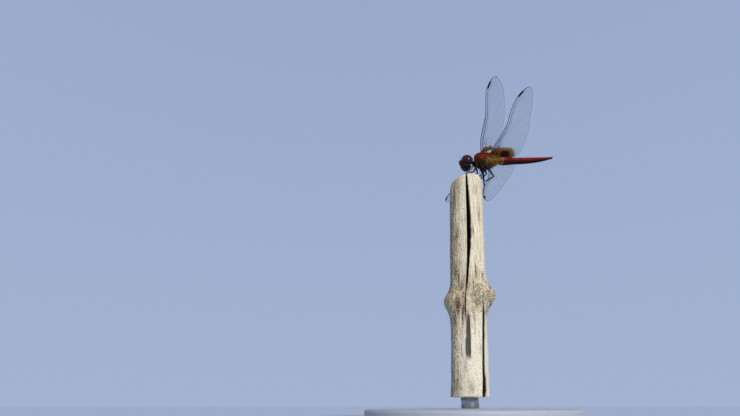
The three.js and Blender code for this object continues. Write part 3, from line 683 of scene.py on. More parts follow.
def abdomen_colours(paint, cloud):
    """Red with darker clouds, a darker red low on the sides as painted shade, ochre low on the first
    segments, black below, partly the belly's own black and partly painted shade, and two black spots on the
    back near the tail."""
    first = paint.times(paint.step(paint.x, -7.6, -6.2), paint.step(paint.z, 0.5, -1.0))
    spots = [paint.near(paint.own, (place, 0, 0.6), (0.85, 0.5, 0.6), 0.3) for place in (-28.8, -26.7)]
    return paint.layers(
        paint.mix(ABDOMEN_DEEP, ABDOMEN_RED, paint.step(cloud, 0.35, 0.65)),
        # painted shade: a darker red down the lower sides of the abdomen
        (ABDOMEN_FLANK_SHADE, paint.mark("flank_shade"), 1),
        (OCHRE, first, 0.6),
        # black underside: partly the belly's own black, partly painted shade where the sides turn under
        (NEAR_BLACK, paint.mark("under"), 0.96),
        *((NEAR_BLACK, spot, 1) for spot in spots),
    )


def body_paint():
    """Cuticle of the trunk: the abdomen's and the thorax's own colours, a dark neck and dark seams. It is
    dull where it is furred and polished on the sides of the first abdominal segments."""
    paint = Paint("body_cuticle", Specular_IOR_Level=0.12)
    cloud = paint.noise(0.9, 4)
    base = paint.layers(
        abdomen_colours(paint, cloud),
        (thorax_colours(paint, cloud), paint.step(paint.x, -5.4, -4.6), 1),
        (NEAR_BLACK, paint.step(paint.x, 4.9, 5.4), 0.85),
        (NEAR_BLACK, paint.mark("seam"), 0.75),
        (PALE, paint.mark("pale"), 1),
    )
    paint.bump(paint.noise(9, 2), 0.02, 0.6)
    polish = paint.near(paint.own, (-9.6, 0, -1.2), (3.8, 4, 4), 0.35)
    rough = paint.node("MapRange", {"Value": polish, "To Min": 0.55, "To Max": 0.18})
    furred = paint.node("MapRange", {"Value": paint.x, "From Min": -5.6, "From Max": -4.6, "To Max": 0.55})
    paint.feed(paint.surface.inputs["Roughness"], paint.math("MAXIMUM", rough, furred))
    return paint.finish(base)


def hair_paint():
    """Fawn and dark brown hair, rusty on the back."""
    paint = Paint("body_hair", Roughness=0.8, Specular_IOR_Level=0.05)
    base = paint.mix(HAIR_DARK, HAIR_FAWN, paint.step(paint.noise(2.5, 2), 0.35, 0.65))
    return paint.finish(paint.mix(base, HAIR_RUST, paint.step(paint.z, -1.0, 1.5)))


def eye_paint():
    """Compound eye: dark maroon above, browner and greyer below, with fine facets."""
    paint = Paint("eye_facets", Roughness=0.24, Specular_IOR_Level=0.28)
    height = paint.add(paint.z, paint.noise(1.1, 2))
    base = paint.mix(EYE_PALE, EYE_LOW, paint.step(height, -1.5, -0.6))
    paint.bump(paint.node("TexVoronoi", {"Vector": paint.own, "Scale": 14.0}), 0.01, 0.4)
    return paint.finish(paint.mix(base, EYE_TOP, paint.step(height, -0.4, 0.9)))


def face_paint():
    """Red cuticle of the face, darker low down as painted shade, and darker in its seams."""
    paint = Paint("face_cuticle", Roughness=0.38, Specular_IOR_Level=0.14)
    height = paint.add(paint.z, paint.noise(1.6, 3))
    base = paint.mix(FACE_SHADE, FACE_RED, paint.step(height, -1.2, 0.2))
    paint.bump(paint.noise(12, 2), 0.025, 0.7)
    return paint.finish(paint.layers(base, (NEAR_BLACK, paint.mark("seam"), 0.85)))


def dark_paint(name, tint, roughness, grain):
    """Dark cuticle with a slight grain."""
    paint = Paint(name, Roughness=roughness, Specular_IOR_Level=0.2)
    paint.bump(paint.noise(grain, 2), 0.02, 0.8)
    lighter = tuple(share * 1.7 for share in tint[:3]) + (1,)
    return paint.finish(paint.mix(tint, lighter, paint.step(paint.noise(2.0, 3), 0.35, 0.7)))


def membrane_paint(name, marks, side):
    """Clear wing skin, with marks at its base as (centre, spread, tint, how solid)."""
    paint = Paint(name, Roughness=0.18, IOR=1.5)
    wander = paint.times(paint.add(paint.noise(0.7, 4), -0.5), 3.0)
    flat = paint.node("CombineXYZ", {"X": paint.add(paint.x, wander), "Y": paint.add(paint.y, wander)})
    base, solid = CLEAR_SKIN, paint.times(paint.noise(1.3, 3), 0.09)
    for (out, back), (spread_out, spread_back), tint, strength in marks:
        inside = paint.near(flat, (-back, side * out, 0), (spread_back, spread_out, 1), 0.25)
        base = paint.mix(base, tint, inside)
        solid = paint.math("MAXIMUM", solid, paint.times(inside, strength))
    paint.feed(paint.surface.inputs["Alpha"], solid)
    return paint.finish(base)


def vein_paint():
    """Reddish veins at the wing's base, dark grey and black farther out."""
    paint = Paint("wing_veins", Roughness=0.35)
    tone = paint.mix(VEIN_RED, VEIN_GREY, paint.step(paint.math("ABSOLUTE", paint.y), 1.5, 6))
    return paint.finish(paint.mix(tone, VEIN_BLACK, paint.noise(3, 2)))


def wood_paint():
    """Bleached dead wood: cream, speckled and mottled brown where it is weathered, with painted shade in its
    cracks and hollows and a dark stain along a shallow furrow.
    """
    paint = Paint("dead_wood_grain", Roughness=0.9, Specular_IOR_Level=0.2)
    fibre, fine = paint.noise(1.6, 5, (1, 1, 0.12)), paint.noise(6.0, 4, (1, 1, 0.08))
    mottle, bruise = paint.noise(0.55, 4, (1, 1, 0.5)), paint.noise(1.0, 5, (1, 1, 0.6))
    speck, pinhole = paint.noise(2.6, 6, (1, 1, 0.6)), paint.noise(4.2, 5, (1, 1, 0.7))
    worn, stain = paint.mark("worn"), paint.mark("stain")
    dots = paint.add(paint.add(pinhole, -0.5), paint.times(worn, 0.07))
    flakes = paint.add(paint.add(speck, -0.5), paint.times(worn, 0.1))
    patchy = paint.step(paint.add(speck, paint.times(stain, 0.45)), 0.72, 0.86)
    base = paint.layers(
        WOOD["pale"],
        (WOOD["cream"], paint.step(fibre, 0.38, 0.6), 1),
        (WOOD["bleached"], paint.step(paint.z, 46, 26), 0.7),
        (WOOD["mottled"], paint.times(paint.step(mottle, 0.45, 0.64), worn), 0.7),
        (WOOD["lines"], paint.step(fine, 0.38, 0.30), 0.3),
        (WOOD["bruised"], paint.times(paint.step(bruise, 0.52, 0.68), worn), 0.7),
        (WOOD["dots"], paint.step(dots, 0.07, 0.18), 0.8),
        (WOOD["flakes"], paint.step(flakes, 0.12, 0.24), 0.9),
        (WOOD["stained"], stain, 0.5),
        (WOOD["stained_dark"], paint.times(patchy, stain), 0.85),
        (WOOD["knot"], paint.times(paint.mark("brown"), paint.step(speck, 0.42, 0.6)), 0.9),
        # painted shade in the hollows
        (WOOD["hollow"], paint.mark("hollow"), 0.8),
        # painted shade inside the deep cracks, and the dark stain along the shallow furrow
        (WOOD["crack"], paint.mark("crack"), 1),
    )
    relief = paint.add(paint.add(fibre, paint.times(fine, 0.3)), paint.times(speck, 0.6))
    paint.bump(relief, 0.25, 0.8)
    return paint.finish(base)


def stand_paint():
    """Pale satin of the base."""
    paint = Paint("stand_satin", Roughness=0.5)
    paint.bump(paint.noise(6, 3), 0.02, 0.4)
    return paint.finish(paint.mix(SATIN_LOW, SATIN_HIGH, paint.noise(0.9, 4)))


def steel_paint():
    """Steel brushed round the rod."""
    paint = Paint("brushed_steel", Metallic=1.0, Roughness=0.32)
    brushed = paint.noise(3, 4, (0.3, 0.3, 12))
    paint.bump(brushed, 0.03, 0.5)
    return paint.finish(paint.mix(STEEL_LOW, STEEL_HIGH, brushed))


# ------------------------------------------------------------------ trunk

def trunk_places(count):
    """Places along the trunk, closer together where its outline turns steeply."""
    fine = np.linspace(TRUNK[0][0], TRUNK[-1][0], 4000)
    sizes = section(TRUNK, fine)
    steps = np.abs(np.gradient(sizes, axis=0)).sum(1)
    run = np.concatenate([[0], np.cumsum(steps)[:-1]])
    return np.interp(np.linspace(0, run[-1], count), run, fine)


def from_line(x, z, line):
    """Distance in the side view from a line of points."""
    best = np.full(np.shape(x), 1e9)
    for (x0, z0), (x1, z1) in zip(line, line[1:]):
        run = np.array([x1 - x0, z1 - z0])
        t = np.clip(((x - x0) * run[0] + (z - z0) * run[1]) / (run @ run), 0, 1)
        best = np.minimum(best, np.hypot(x - x0 - t * run[0], z - z0 - t * run[1]))
    return best


def abdomen_relief(relief, x, y, rise):
    """A groove with a low ridge before and behind it at each joint, a fine ring on the first segments, the
    keel and the side ridges, and the fold where back and belly plates meet."""
    on_abdomen = smooth(-x, 5.1, 5.5)
    for joint in SEGMENT_JOINTS:
        relief.cut(bell(x - joint, 0.1), 0.09)
        relief.raised(bell(x - joint - 0.3, 0.16), 0.02)
        relief.raised(bell(x - joint + 0.25, 0.1), 0.015)
    for joint in SEGMENT_JOINTS[1:4]:
        relief.raised(bell(x - joint - 1.3, 0.06), 0.02)
    relief.raised(on_abdomen * bell(y, 0.12) * (rise > 0), 0.07)
    relief.raised(on_abdomen * bell(rise + 0.55, 0.05), 0.07)
    relief.cut(on_abdomen * bell(rise + 0.86, 0.04), 0.12, 0.8)


def thorax_relief(relief, x, y, z):
    """The seams of the side with a swelling along each, the ridge of the back, the swollen plates between
    the wings with a sunk rim, and the breathing hole."""
    on_thorax = smooth(x, -4.9, -4.3) * smooth(-x, -5.1, -4.7)
    beside_middle = smooth(np.abs(y), 0.8, 1.3)
    for line in PLEURAL_SEAMS:
        off = from_line(x, z, line)
        relief.raised(bell(off - 0.28, 0.14) * on_thorax, 0.05)
        relief.cut(bell(off, 0.11) * on_thorax * beside_middle, 0.17)
    relief.raised(bell(y, 0.09) * smooth(x, 2.8, 3.6) * smooth(-x, -5.2, -4.8) * (z > -1), 0.09)
    on_back = smooth(z, 2.0, 2.8)
    for place, half_length, half_width, lift in BACK_PLATES:
        reach = np.sqrt(((x - place) / half_length) ** 2 + (y / half_width) ** 2)
        relief.raised(smooth(-reach, -1.2, -0.5) * on_back, lift)
        relief.cut(bell(reach - 1.15, 0.12) * on_back, 0.12, 0.7)
    from_hole = np.hypot(x - SPIRACLE["place"], (z - SPIRACLE["height"]) / SPIRACLE["stretch"])
    relief.cut(bell(from_hole, SPIRACLE["width"]) * (np.abs(y) > 1.5), 0.15)


def trunk_rings(rows=620, columns=144):
    """The trunk's skin as rings of points, and its marks: seams, a dark underside that is partly the
    belly's own black and partly painted shade, painted shade low on the sides, and a pale ring.
    """
    places = trunk_places(rows)
    _, half_width, back, belly = (column[:, None] for column in section(TRUNK, places).T)
    angle = np.linspace(0, 2 * np.pi, columns, endpoint=False)
    across, rise = np.cos(angle), np.sin(angle)
    keel = np.where(places < WAIST, KEEL["abdomen"], KEEL["thorax"])[:, None]
    y = across * (1 - keel * np.maximum(rise, 0)) * (half_width - SINK)
    z = (back + belly) / 2 + rise * ((back - belly) / 2 - SINK)
    x = np.repeat(places[:, None], columns, 1)
    rings = np.stack([x, y, z], -1)
    rise = np.repeat(rise[None], rows, 0)
    relief = Relief(x)
    abdomen_relief(relief, x, y, rise)
    thorax_relief(relief, x, y, z)
    for place, width in RING_GROOVES:
        relief.cut(bell(x - place, width), 0.08, 0.6)
    around = np.repeat(angle[None] / (2 * np.pi), rows, 0)
    uneven = 0.12 * lattice(around, (x - TRUNK[0][0]) / 40, 16, 60, 3)
    marks = {
        "seam": relief.seam,
        # black underside: partly the belly's own black, partly painted shade
        "under": smooth(-rise + uneven, 0.78, 0.95) * smooth(-x, 6.6, 7.8),
        # painted shade: a darker red low on the sides
        "flank_shade": smooth(-rise + 0.5 * uneven, 0.4, 0.9),
        "pale": 0.5 * bell(x + 7.05, 0.1) * smooth(-rise, 0.1, 0.5),
    }
    return rings + normals_of(rings) * relief.out[..., None], marks


def build_trunk():
    rings, marks = trunk_rings()
    marks = {key: np.concatenate([value.ravel(), [0, 0]]) for key, value in marks.items()}
    nodes = ["thorax", "prothorax"] + [f"abdomen_{k}" for k in range(1, 11)]
    piece("body_skin", closed(rings), body_paint(), BODY_FRAME, nodes, marks)
    build_body_hair(rings)


def build_body_hair(rings, wanted=6500):
    """Soft hair all over the thorax, thinner and shorter on the first abdominal segments."""
    chance = np.random.default_rng(11)
    rows, columns = rings.shape[:2]
    outward = normals_of(rings)
    area = np.linalg.norm(np.cross(np.roll(rings, -1, 1) - rings, np.gradient(rings, axis=0)), axis=-1)
    x, _, z = np.moveaxis(rings, -1, 0)
    cover = smooth(x, -5.0, -4.4) + 0.35 * smooth(x, -12, -5.5)
    cover *= smooth(-x, -6.6, -6.2) * (1 - 0.55 * smooth(z, 2.2, 3.2))
    weight = (area * cover).ravel()
    pick = chance.choice(weight.size, wanted, p=weight / weight.sum())
    jitter = chance.uniform(-0.5, 0.5, (wanted, 2))
    i, j = pick // columns, pick % columns
    roots = rings[i, j] + jitter[:, :1] * (rings[np.minimum(i + 1, rows - 1), j] - rings[i, j])
    ways = unit(outward[i, j] + chance.normal(0, 0.25, (wanted, 3)) + np.array([-0.75, 0, -0.3]))
    lengths = chance.uniform(0.3, 0.65, wanted) * np.where(roots[:, 0] < -5, 0.5, 1)
    droop = np.array([-0.5, 0, -0.35]) + chance.normal(0, 0.15, (wanted, 3))
    shape = hairs(roots, ways, lengths, HAIR_WIDTH, droop)
    unwrap = np.stack([i / rows, j / columns], 1)
    hair_piece("body_hairs", shape, hair_paint(), BODY_FRAME, unwrap)


def clasper(limb, side):
    path = [(SEGMENT_JOINTS[-1] - back, side * out, up) for back, out, up in limb["joints"]]
    return tube(*tapered(path, 18, limb["profile"]), 14)


def build_tail():
    paint = dark_paint("tail_cuticle", TAIL_BLACK, 0.4, 8)
    for hand, side in HANDS:
        piece(f"clasper_{hand}", clasper(CERCUS, side), paint, BODY_FRAME, [f"cercus_{hand}"])
    piece("clasper_under", clasper(EPIPROCT, 1), paint, BODY_FRAME, ["epiproct"])


# ------------------------------------------------------------------ head

def shrunk(part, by=0.06):
    return part["centre"], tuple(radius - by for radius in part["radii"])


def build_eyes():
    """The two domes, each pressed flat where it meets the other."""
    paint = eye_paint()
    centre, radii = shrunk(EYE)
    for hand, side in HANDS:
        points, faces = oval(on_side(centre, side), radii, side * EYE["tilt"], 160, 110)
        past_seam = (side * points[:, 1] - EYE["seam"]) / EYE["soft"]
        points[:, 1] = side * (EYE["seam"] + np.logaddexp(0, past_seam) * EYE["soft"])
        piece(f"eye_dome_{hand}", (points, faces), paint, HEAD_FRAME, [f"eye_{hand}"])


def face_part(name, part, shape_of, paint, stands_for):
    """A plate of the face: an oval with its own grooves and swellings, which shape_of gives from the
    points and from the same points as shares of the oval's radii."""
    centre, radii = shrunk(part)
    points, faces = oval(centre, radii, 0, 96, 72)
    spokes = (points - np.array(centre)) / np.array(radii)
    relief = Relief(points[:, 0])
    shape_of(relief, points.T, spokes.T)
    points = points + unit(spokes / np.array(radii)) * relief.out[:, None]
    piece(name, (points, faces), paint, HEAD_FRAME, stands_for, {"seam": relief.seam})


def frons_relief(relief, points, spokes):
    """A furrow down the middle and a brow across."""
    relief.raised(bell(spokes[2] - 0.25, 0.1), 0.05)
    relief.cut(bell(points[1], 0.13) * smooth(spokes[2], -0.3, 0.4), 0.16, 0.5)


def clypeus_relief(relief, points, spokes):
    """A crease across and a dent at each side."""
    relief.cut(bell(points[2] + 1.45, 0.09) * smooth(spokes[0], 0.0, 0.3), 0.1, 0.7)
    relief.raised(bell(np.hypot(np.abs(points[1]) - 0.75, points[2] + 1.05), 0.25), -0.06)


def labrum_relief(relief, points, spokes):
    """A dent in the middle, a raised lower edge, and a dark line along the upper one."""
    relief.raised(bell(points[1], 0.15) * smooth(-spokes[2], 0.0, 0.6), -0.08)
    relief.raised(bell(spokes[2] + 0.7, 0.1), 0.04)
    relief.darkened(bell(spokes[2] - 0.55, 0.12), 0.6)


def labium_relief(relief, points, spokes):
    """Two swollen lobes with a split between them and a rim beside each."""
    out, inner, outer = np.abs(points[1]), smooth(-spokes[2], 0.0, 0.5), smooth(-spokes[2], 0.1, 0.4)
    relief.raised(bell(out - 0.75, 0.45) * inner, 0.05)
    relief.cut(bell(points[1], 0.07) * outer, 0.18)
    relief.cut(bell(out - 1.35, 0.08) * outer, 0.1)


def capsule_relief(relief, _, spokes):
    """A hollow back with a ridge round it."""
    behind, out, up = -spokes[0], np.abs(spokes[1]), spokes[2]
    ridge = bell(np.hypot(out, up) - 0.72, 0.08) * smooth(behind, 0.2, 0.6)
    relief.raised(smooth(behind, 0.3, 0.9) * smooth(-out, -0.8, -0.2), -0.2)
    relief.raised(ridge, 0.05)
    relief.darkened(ridge, 0.4)


def vertex_relief(relief, points, spokes):
    """A notch on top."""
    relief.cut(bell(points[1], 0.14) * smooth(spokes[2], 0.3, 0.8), 0.14, 0.5)


def build_face():
    paint, dark = face_paint(), dark_paint("head_capsule", CAPSULE_BLACK, 0.5, 7)
    face_part("face_frons", FRONS, frons_relief, paint, ["frons"])
    face_part("face_clypeus", CLYPEUS, clypeus_relief, paint, ["clypeus"])
    face_part("face_labrum", LABRUM, labrum_relief, paint, ["labrum"])
    # The lower lip takes the head capsule's black as painted shade.
    face_part("face_labium", LABIUM, labium_relief, dark, ["labium"])
    face_part("head_capsule", CAPSULE, capsule_relief, dark, ["head"])
    face_part("crown_tubercle", VERTEX, vertex_relief, paint, ["vertex"])
    build_small_eyes()
    build_jaws(dark)
    build_feelers()


def build_small_eyes():
    """The three beads on the crown's tubercle."""
    amber = dark_paint("small_eyes", SMALL_EYE, 0.12, 5)
    beads = [ball(place, SMALL_EYES["radius"], 24, 16) for place in SMALL_EYES["places"]]
    piece("small_eyes", joined(beads), amber, HEAD_FRAME)


def build_jaws(paint):
    """The bases of the jaws, at each side between the upper and lower lip."""
    bases = [oval(on_side(JAW["centre"], side), JAW["radii"], side * JAW["tilt"], 40, 28)
             for _, side in HANDS]
    piece("jaws", joined(bases), paint, HEAD_FRAME)


def build_feelers():
    """Short bristle feelers: two thick joints, then a bristle."""
    paint = dark_paint("feelers", FEELER_BLACK, 0.4, 9)
    for hand, side in HANDS:
        path = [on_side(joint, side) for joint in ANTENNA]
        piece(f"feeler_{hand}", tube(*tapered(path, 40, FEELER), 10), paint, HEAD_FRAME,
              [f"antenna_{hand}"])


def build_face_hair(wanted=420):
    """Short dark bristles on the front of the face and all under the lower lip."""
    chance = np.random.default_rng(23)
    roots, ways, unwrap = [], [], []
    for part, share in ((FRONS, 0.3), (CLYPEUS, 0.2), (LABRUM, 0.2), (LABIUM, 0.3)):
        centre, radii = shrunk(part)
        spokes = unit(chance.normal(0, 1, (int(wanted * share * 3), 3)))
        keep = spokes[:, 0] > 0.25
        if part is LABIUM:
            keep |= spokes[:, 2] < -0.4
        spokes = spokes[keep][: int(wanted * share)]
        roots.append(np.array(centre) + spokes * np.array(radii))
        ways.append(unit(spokes / np.array(radii) + np.array([0, 0, -0.25])))
        unwrap.append(spokes[:, 1:] * 0.48 + 0.5)
    roots, ways, unwrap = map(np.concatenate, (roots, ways, unwrap))
    lengths = chance.uniform(0.25, 0.5, len(roots))
    shape = hairs(roots, ways, lengths, HAIR_WIDTH, -0.4 * UP)
    dark = dark_paint("face_bristles", BRISTLE, 0.5, 9)
    hair_piece("face_bristles", shape, dark, HEAD_FRAME, unwrap)


# ------------------------------------------------------------------ wings

class Wing:
    """One wing in its own frame, with X forward, Y out to its side and Z up. Its outline and veins are
    written as distances out and back, and are the same for both sides."""

    def __init__(self, shape, veins, which, side):
        self.shape, self.side = shape, side
        self.front, self.rear = np.array(shape["front"], float), np.array(shape["rear"], float)
        turn = (rotation(2, side * shape["sweep"][which]) @ rotation(0, side * shape["rise"][which])
                @ rotation(1, shape["pitch"]))
        self.place = Frame(on_side(shape["hinge"], side), turn, BODY_FRAME)
        front, rear = self.outline(self.front, 400), self.outline(self.rear, 400)
        inner = rear[:, 0].argmin()
        self.front_fine, self.rear_fine = np.concatenate([rear[inner::-1], front]), rear[inner:]
        self.root, self.tip = rear[inner, 0], self.front[-1][0]
        self.veins = {name: np.array(path, float) for name, path in veins.items()}
        self.paths = [along(path, 80) for path in self.veins.values()]

    @staticmethod
    def outline(points, count, share=1.0):
        """Points of the smooth curve through an edge, over a share of its length from the root."""
        last = len(points) - 1
        place = np.linspace(0, share, count) * last
        i = np.minimum(place.astype(int), last - 1)
        w = (place - i)[:, None]
        before, left, right, after = [points[np.clip(i + k, 0, last)] for k in (-1, 0, 1, 2)]
        slope_from, slope_to = (right - before) / 2, (after - left) / 2
        return ((2 * left - 2 * right + slope_from + slope_to) * w ** 3
                + (-3 * left + 3 * right - 2 * slope_from - slope_to) * w ** 2 + slope_from * w + left)

    def edges(self, out):
        """How far back the front and the rear edge are at a distance out."""
        return np.interp(out, *self.front_fine.T), np.interp(out, *self.rear_fine.T)

    def back(self, out, share):
        front, rear = self.edges(out)
        return front + (rear - front) * share

    def share(self, out, back):
        front, rear = self.edges(out)
        return (back - front) / np.maximum(rear - front, 0.05)

    def vein_shares(self, out):
        """Where each long vein lies at a distance out, as a share of the chord. Before its start a vein
        keeps its first place, and past its end it lies on the edge that it ends at."""
        rows = [np.interp(out, *path.T, right=0.0 if path[-1, 1] < 0.5 else 1.01) for path in self.paths]
        return np.sort(np.array(rows), axis=0)

    def field(self, out, share):
        """Which strip between two long veins a point lies in."""
        return (share > self.vein_shares(out)).sum(0)

    def lift(self, out, back):
        """Height of the membrane: the camber, and pleats that follow the long veins."""
        out = np.asarray(out)
        front, rear = self.edges(out)
        share = np.clip(self.share(out, back), 0, 1)
        lines = np.concatenate([np.zeros((1, *out.shape)), self.vein_shares(out), np.ones((1, *out.shape))])
        pleat = np.zeros(out.shape)
        for k, (low, high) in enumerate(zip(lines, lines[1:])):
            t = np.clip((share - low) / np.maximum(high - low, 1e-4), 0, 1)
            inside = (share >= low) & (share <= high)
            pleat = np.where(inside, (1 - 2 * t) * (-1) ** k, pleat)
        strength = PLEAT * (1 - 0.6 * share) * smooth(self.tip - out, 0, 4) * smooth(out, 0, 2)
        return CAMBER * (rear - front) * np.sin(np.pi * share) + pleat * strength

    def points(self, out, back, above=0.0):
        """Points of the wing, kept to its own side of the body."""
        flat = np.stack([-back, self.side * np.asarray(out), self.lift(out, back) + above], -1)
        in_body = BODY_FRAME.into(self.place.out(flat))
        in_body[..., 1] = self.side * np.maximum(self.side * in_body[..., 1], MIDLINE_GAP)
        return self.place.into(BODY_FRAME.out(in_body))

    def sheet(self, out, back, half_thickness):
        """A thin closed shell over a grid of points of the wing."""
        upper, lower = (self.points(out, back, above) for above in (half_thickness, -half_thickness))
        return shell(upper, lower)


def membrane(wing, rows=200, columns=70):
    """The skin of the wing, over its whole outline."""
    front, rear = wing.outline(wing.front, rows), wing.outline(wing.rear, rows)
    across = np.linspace(0.002, 0.998, columns)[None, :, None]
    flat = front[:, None] * (1 - across) + rear[:, None] * across
    points, faces = wing.sheet(flat[..., 0], flat[..., 1], MEMBRANE / 2)
    if wing.side < 0:
        faces = [part[:, ::-1] for part in faces]
    return points, faces


def stigma(wing, rows=24, columns=8):
    """The thick dark cell near the tip, between the front edge and the radius."""
    out = np.linspace(*wing.shape["stigma"], rows)
    radius = np.interp(out, *along(wing.veins["radius"], 200).T)
    spread = out[:, None] + np.linspace(-STIGMA["skew"], STIGMA["skew"], columns)
    back = wing.back(spread, radius[:, None] * np.linspace(0.02, 1, columns))
    swell = np.sqrt(np.sin(np.pi * np.linspace(0.06, 0.94, rows)))[:, None]
    return wing.sheet(spread, back, STIGMA["half_thickness"] * swell)


def fold(wing, count=36, steps=8):
    """The fold of skin between a hindwing's inner edge and the back of the body, in the body's frame."""
    inner = wing.outline(wing.rear, 60, 0.35)
    back = np.linspace(FOLD["from"], FOLD["to"], count)
    out = np.interp(back, np.append(0, inner[:, 1]), np.append(0, inner[:, 0]))
    upper = BODY_FRAME.into(wing.place.out(wing.points(out, back)))
    top = section(TRUNK, upper[:, 0])[:, 2]
    foot_out = np.full(count, FOLD["foot_out"] * wing.side)
    lower = np.stack([upper[:, 0], foot_out, top - FOLD["foot_sunk"]], 1)
    share = np.linspace(0, 1, steps)[None, :, None]
    sheet = upper[:, None] * (1 - share) + lower[:, None] * share
    sheet[..., 1] += wing.side * FOLD["bulge"] * np.sin(np.pi * share[..., 0])
    thick = np.array([0, FOLD["half_thickness"], 0])
    return shell(sheet + thick, sheet - thick)


def field_centres(wing, k, chance):
    """Cell centres of one field between two long veins, in rows across it at steps along the wing."""
    found = []
    fields = len(wing.paths) + 1
    stigma_from, stigma_to = wing.shape["stigma"]
    out = wing.root + 0.3 if k > 2 else 0.25
    while out < wing.tip - 0.1:
        low, high = np.concatenate([[0], wing.vein_shares(out), [1]])[k:k + 2]
        front, rear = wing.edges(out)
        width = (high - low) * (rear - front)
        shorter_outside = 1 - 0.25 * smooth(out, wing.shape["nodus"], wing.tip)
        step = CELL_LENGTHS[min(k, 3)] * shorter_outside * (1 - 0.2 * k / fields)
        in_stigma = k <= 1 and stigma_from - 0.2 < out < stigma_to + 0.2
        if width > NARROWEST_FIELD and not in_stigma:
            rows = max(1, int(round(width / (CELL_DEPTH * min(step, 1.0)))))
            for row in range(rows):
                jitter_out, jitter_across = chance.uniform(-0.12, 0.12), chance.uniform(-0.1, 0.1)
                shift = step * (0.5 if row % 2 else 0) + jitter_out * step * (rows > 1)
                place = min(out + shift, wing.tip - 0.05)
                share = low + (high - low) * (row + 0.5 + jitter_across * (rows > 1)) / rows
                found.append((place, float(wing.back(place, share))))
        out += step
    return np.array(found)


def borders(centres):
    """The walls between neighbouring cells, as the two ends of each. Every three neighbours that a circle
    passes through with no other inside it give one corner, at the middle of that circle."""
    far = 200.0
    ring = [(far * np.cos(a) + 17, far * np.sin(a) + 5) for a in np.linspace(0.1, 6.1, 9)]
    sites = [Vector(site) for site in [*map(tuple, centres), *ring]]
    flat, _, triangles, *_ = geometry.delaunay_2d_cdt(sites, [], [], 0, 1e-6)
    corner = np.array([flat[i] for triangle in triangles for i in triangle]).reshape(-1, 3, 2)
    a, b, c = corner[:, 0], corner[:, 1] - corner[:, 0], corner[:, 2] - corner[:, 0]
    twice = 2 * (b[:, 0] * c[:, 1] - b[:, 1] * c[:, 0])
    bb, cc = (b ** 2).sum(1), (c ** 2).sum(1)
    middle = a + np.stack([c[:, 1] * bb - b[:, 1] * cc, b[:, 0] * cc - c[:, 0] * bb], 1) / twice[:, None]
    shared = {}
    for index, triangle in enumerate(triangles):
        for i in range(3):
            shared.setdefault(frozenset((triangle[i], triangle[(i + 1) % 3])), []).append(index)
    pairs = np.array([pair for pair in shared.values() if len(pair) == 2])
    return middle[pairs[:, 0]], middle[pairs[:, 1]]


def cut_to_field(wing, k, starts, ends, longest=60, steps=161):
    """The stretch of each wall that lies in its own field."""
    length = np.linalg.norm(ends - starts, axis=1)
    ends = starts + (ends - starts) * (np.minimum(length, longest) / np.maximum(length, 1e-9))[:, None]
    t = np.linspace(0, 1, steps)
    line = starts[:, None] * (1 - t[:, None]) + ends[:, None] * t[:, None]
    out, back = line[..., 0], line[..., 1]
    share = wing.share(out, back)
    inside = (wing.field(out, share) == k) & (share > 0) & (share < 1) & (out > wing.root) & (out < wing.tip)
    first, last = inside.argmax(1), steps - 1 - inside[:, ::-1].argmax(1)
    row = np.arange(len(line))
    kept = inside.any(1) & (last > first)
    return line[row, first][kept], line[row, last][kept]


def cell_walls(wing):
    """The net of small veins: the borders between neighbouring cells of one field, cut off at the long
    veins round it. Returns the two ends of each in the plane of the wing."""
    chance = np.random.default_rng(7)
    walls = []
    for k in range(len(wing.paths) + 1):
        centres = field_centres(wing, k, chance)
        if len(centres) > 1:
            walls.append(cut_to_field(wing, k, *borders(centres)))
    return tuple(np.concatenate(ends) for ends in zip(*walls))


def long_vein(wing, path, thick, thin):
    """A tapering tube along a long vein, from its first point to its last."""
    out = np.linspace(path[0][0], path[-1][0], 90)
    share = np.clip(np.interp(out, *along(path, 200).T), 0, 1)
    reach = wing.tip if path[-1][1] < 0.5 else 0.4 * path[-1][0]
    taper = thick + (thin - thick) * smooth(out, 0, reach)
    return tube(wing.points(out, wing.back(out, share)), taper / 2, 8)


def margin(wing, edge, thick, thin, count=140):
    """A tapering tube along the front or the rear edge, just inside it."""
    line = wing.outline(edge, count)
    middle = np.array([wing.tip / 2, 4.5])
    line = line + unit(middle - line) * (0.5 * thin)
    return tube(wing.points(*line.T), np.linspace(thick, thin, count) / 2, 8)


def end_edge(wing, which, width, steps):
    """The short edge at the tip or at the root, from the front edge to the rear one."""
    ends = np.stack([wing.front[which], wing.rear[which]])
    return tube(wing.points(*along(ends, steps).T), np.full(steps, width / 2), 8)


def arculus(wing):
    """The short bowed vein from the radius to the cubitus, where the media starts."""
    place = wing.veins["media"][0][0]
    radius, cubitus = (np.interp(place, *wing.veins[name].T) for name in ("radius", "cubitus"))
    bow = place + 0.12 * np.sin(np.linspace(0, np.pi, 8))
    back = wing.back(bow, np.linspace(radius, cubitus, 8))
    return tube(wing.points(bow, back), np.full(8, ARCULUS / 2), 8)


def wing_frame(wing):
    """All veins of a wing: front and rear edge, long veins, arculus, and the net of cells."""
    parts = [margin(wing, wing.front, *FRONT_EDGE), margin(wing, wing.rear, *REAR_EDGE),
             end_edge(wing, -1, TIP_EDGE, 6), end_edge(wing, 0, ROOT_EDGE, 8)]
    for name, path in wing.veins.items():
        parts.append(long_vein(wing, path, *VEIN_WIDTHS.get(name, OTHER_VEINS)))
    starts, ends = cell_walls(wing)
    near_base = smooth(CELL_WALL["base"] - starts[:, 0], 0, CELL_WALL["base"])
    width = CELL_WALL["width"] + CELL_WALL["more_at_base"] * near_base
    net = struts(wing.points(*starts.T), wing.points(*ends.T), width)
    return joined([*parts, arculus(wing), net])


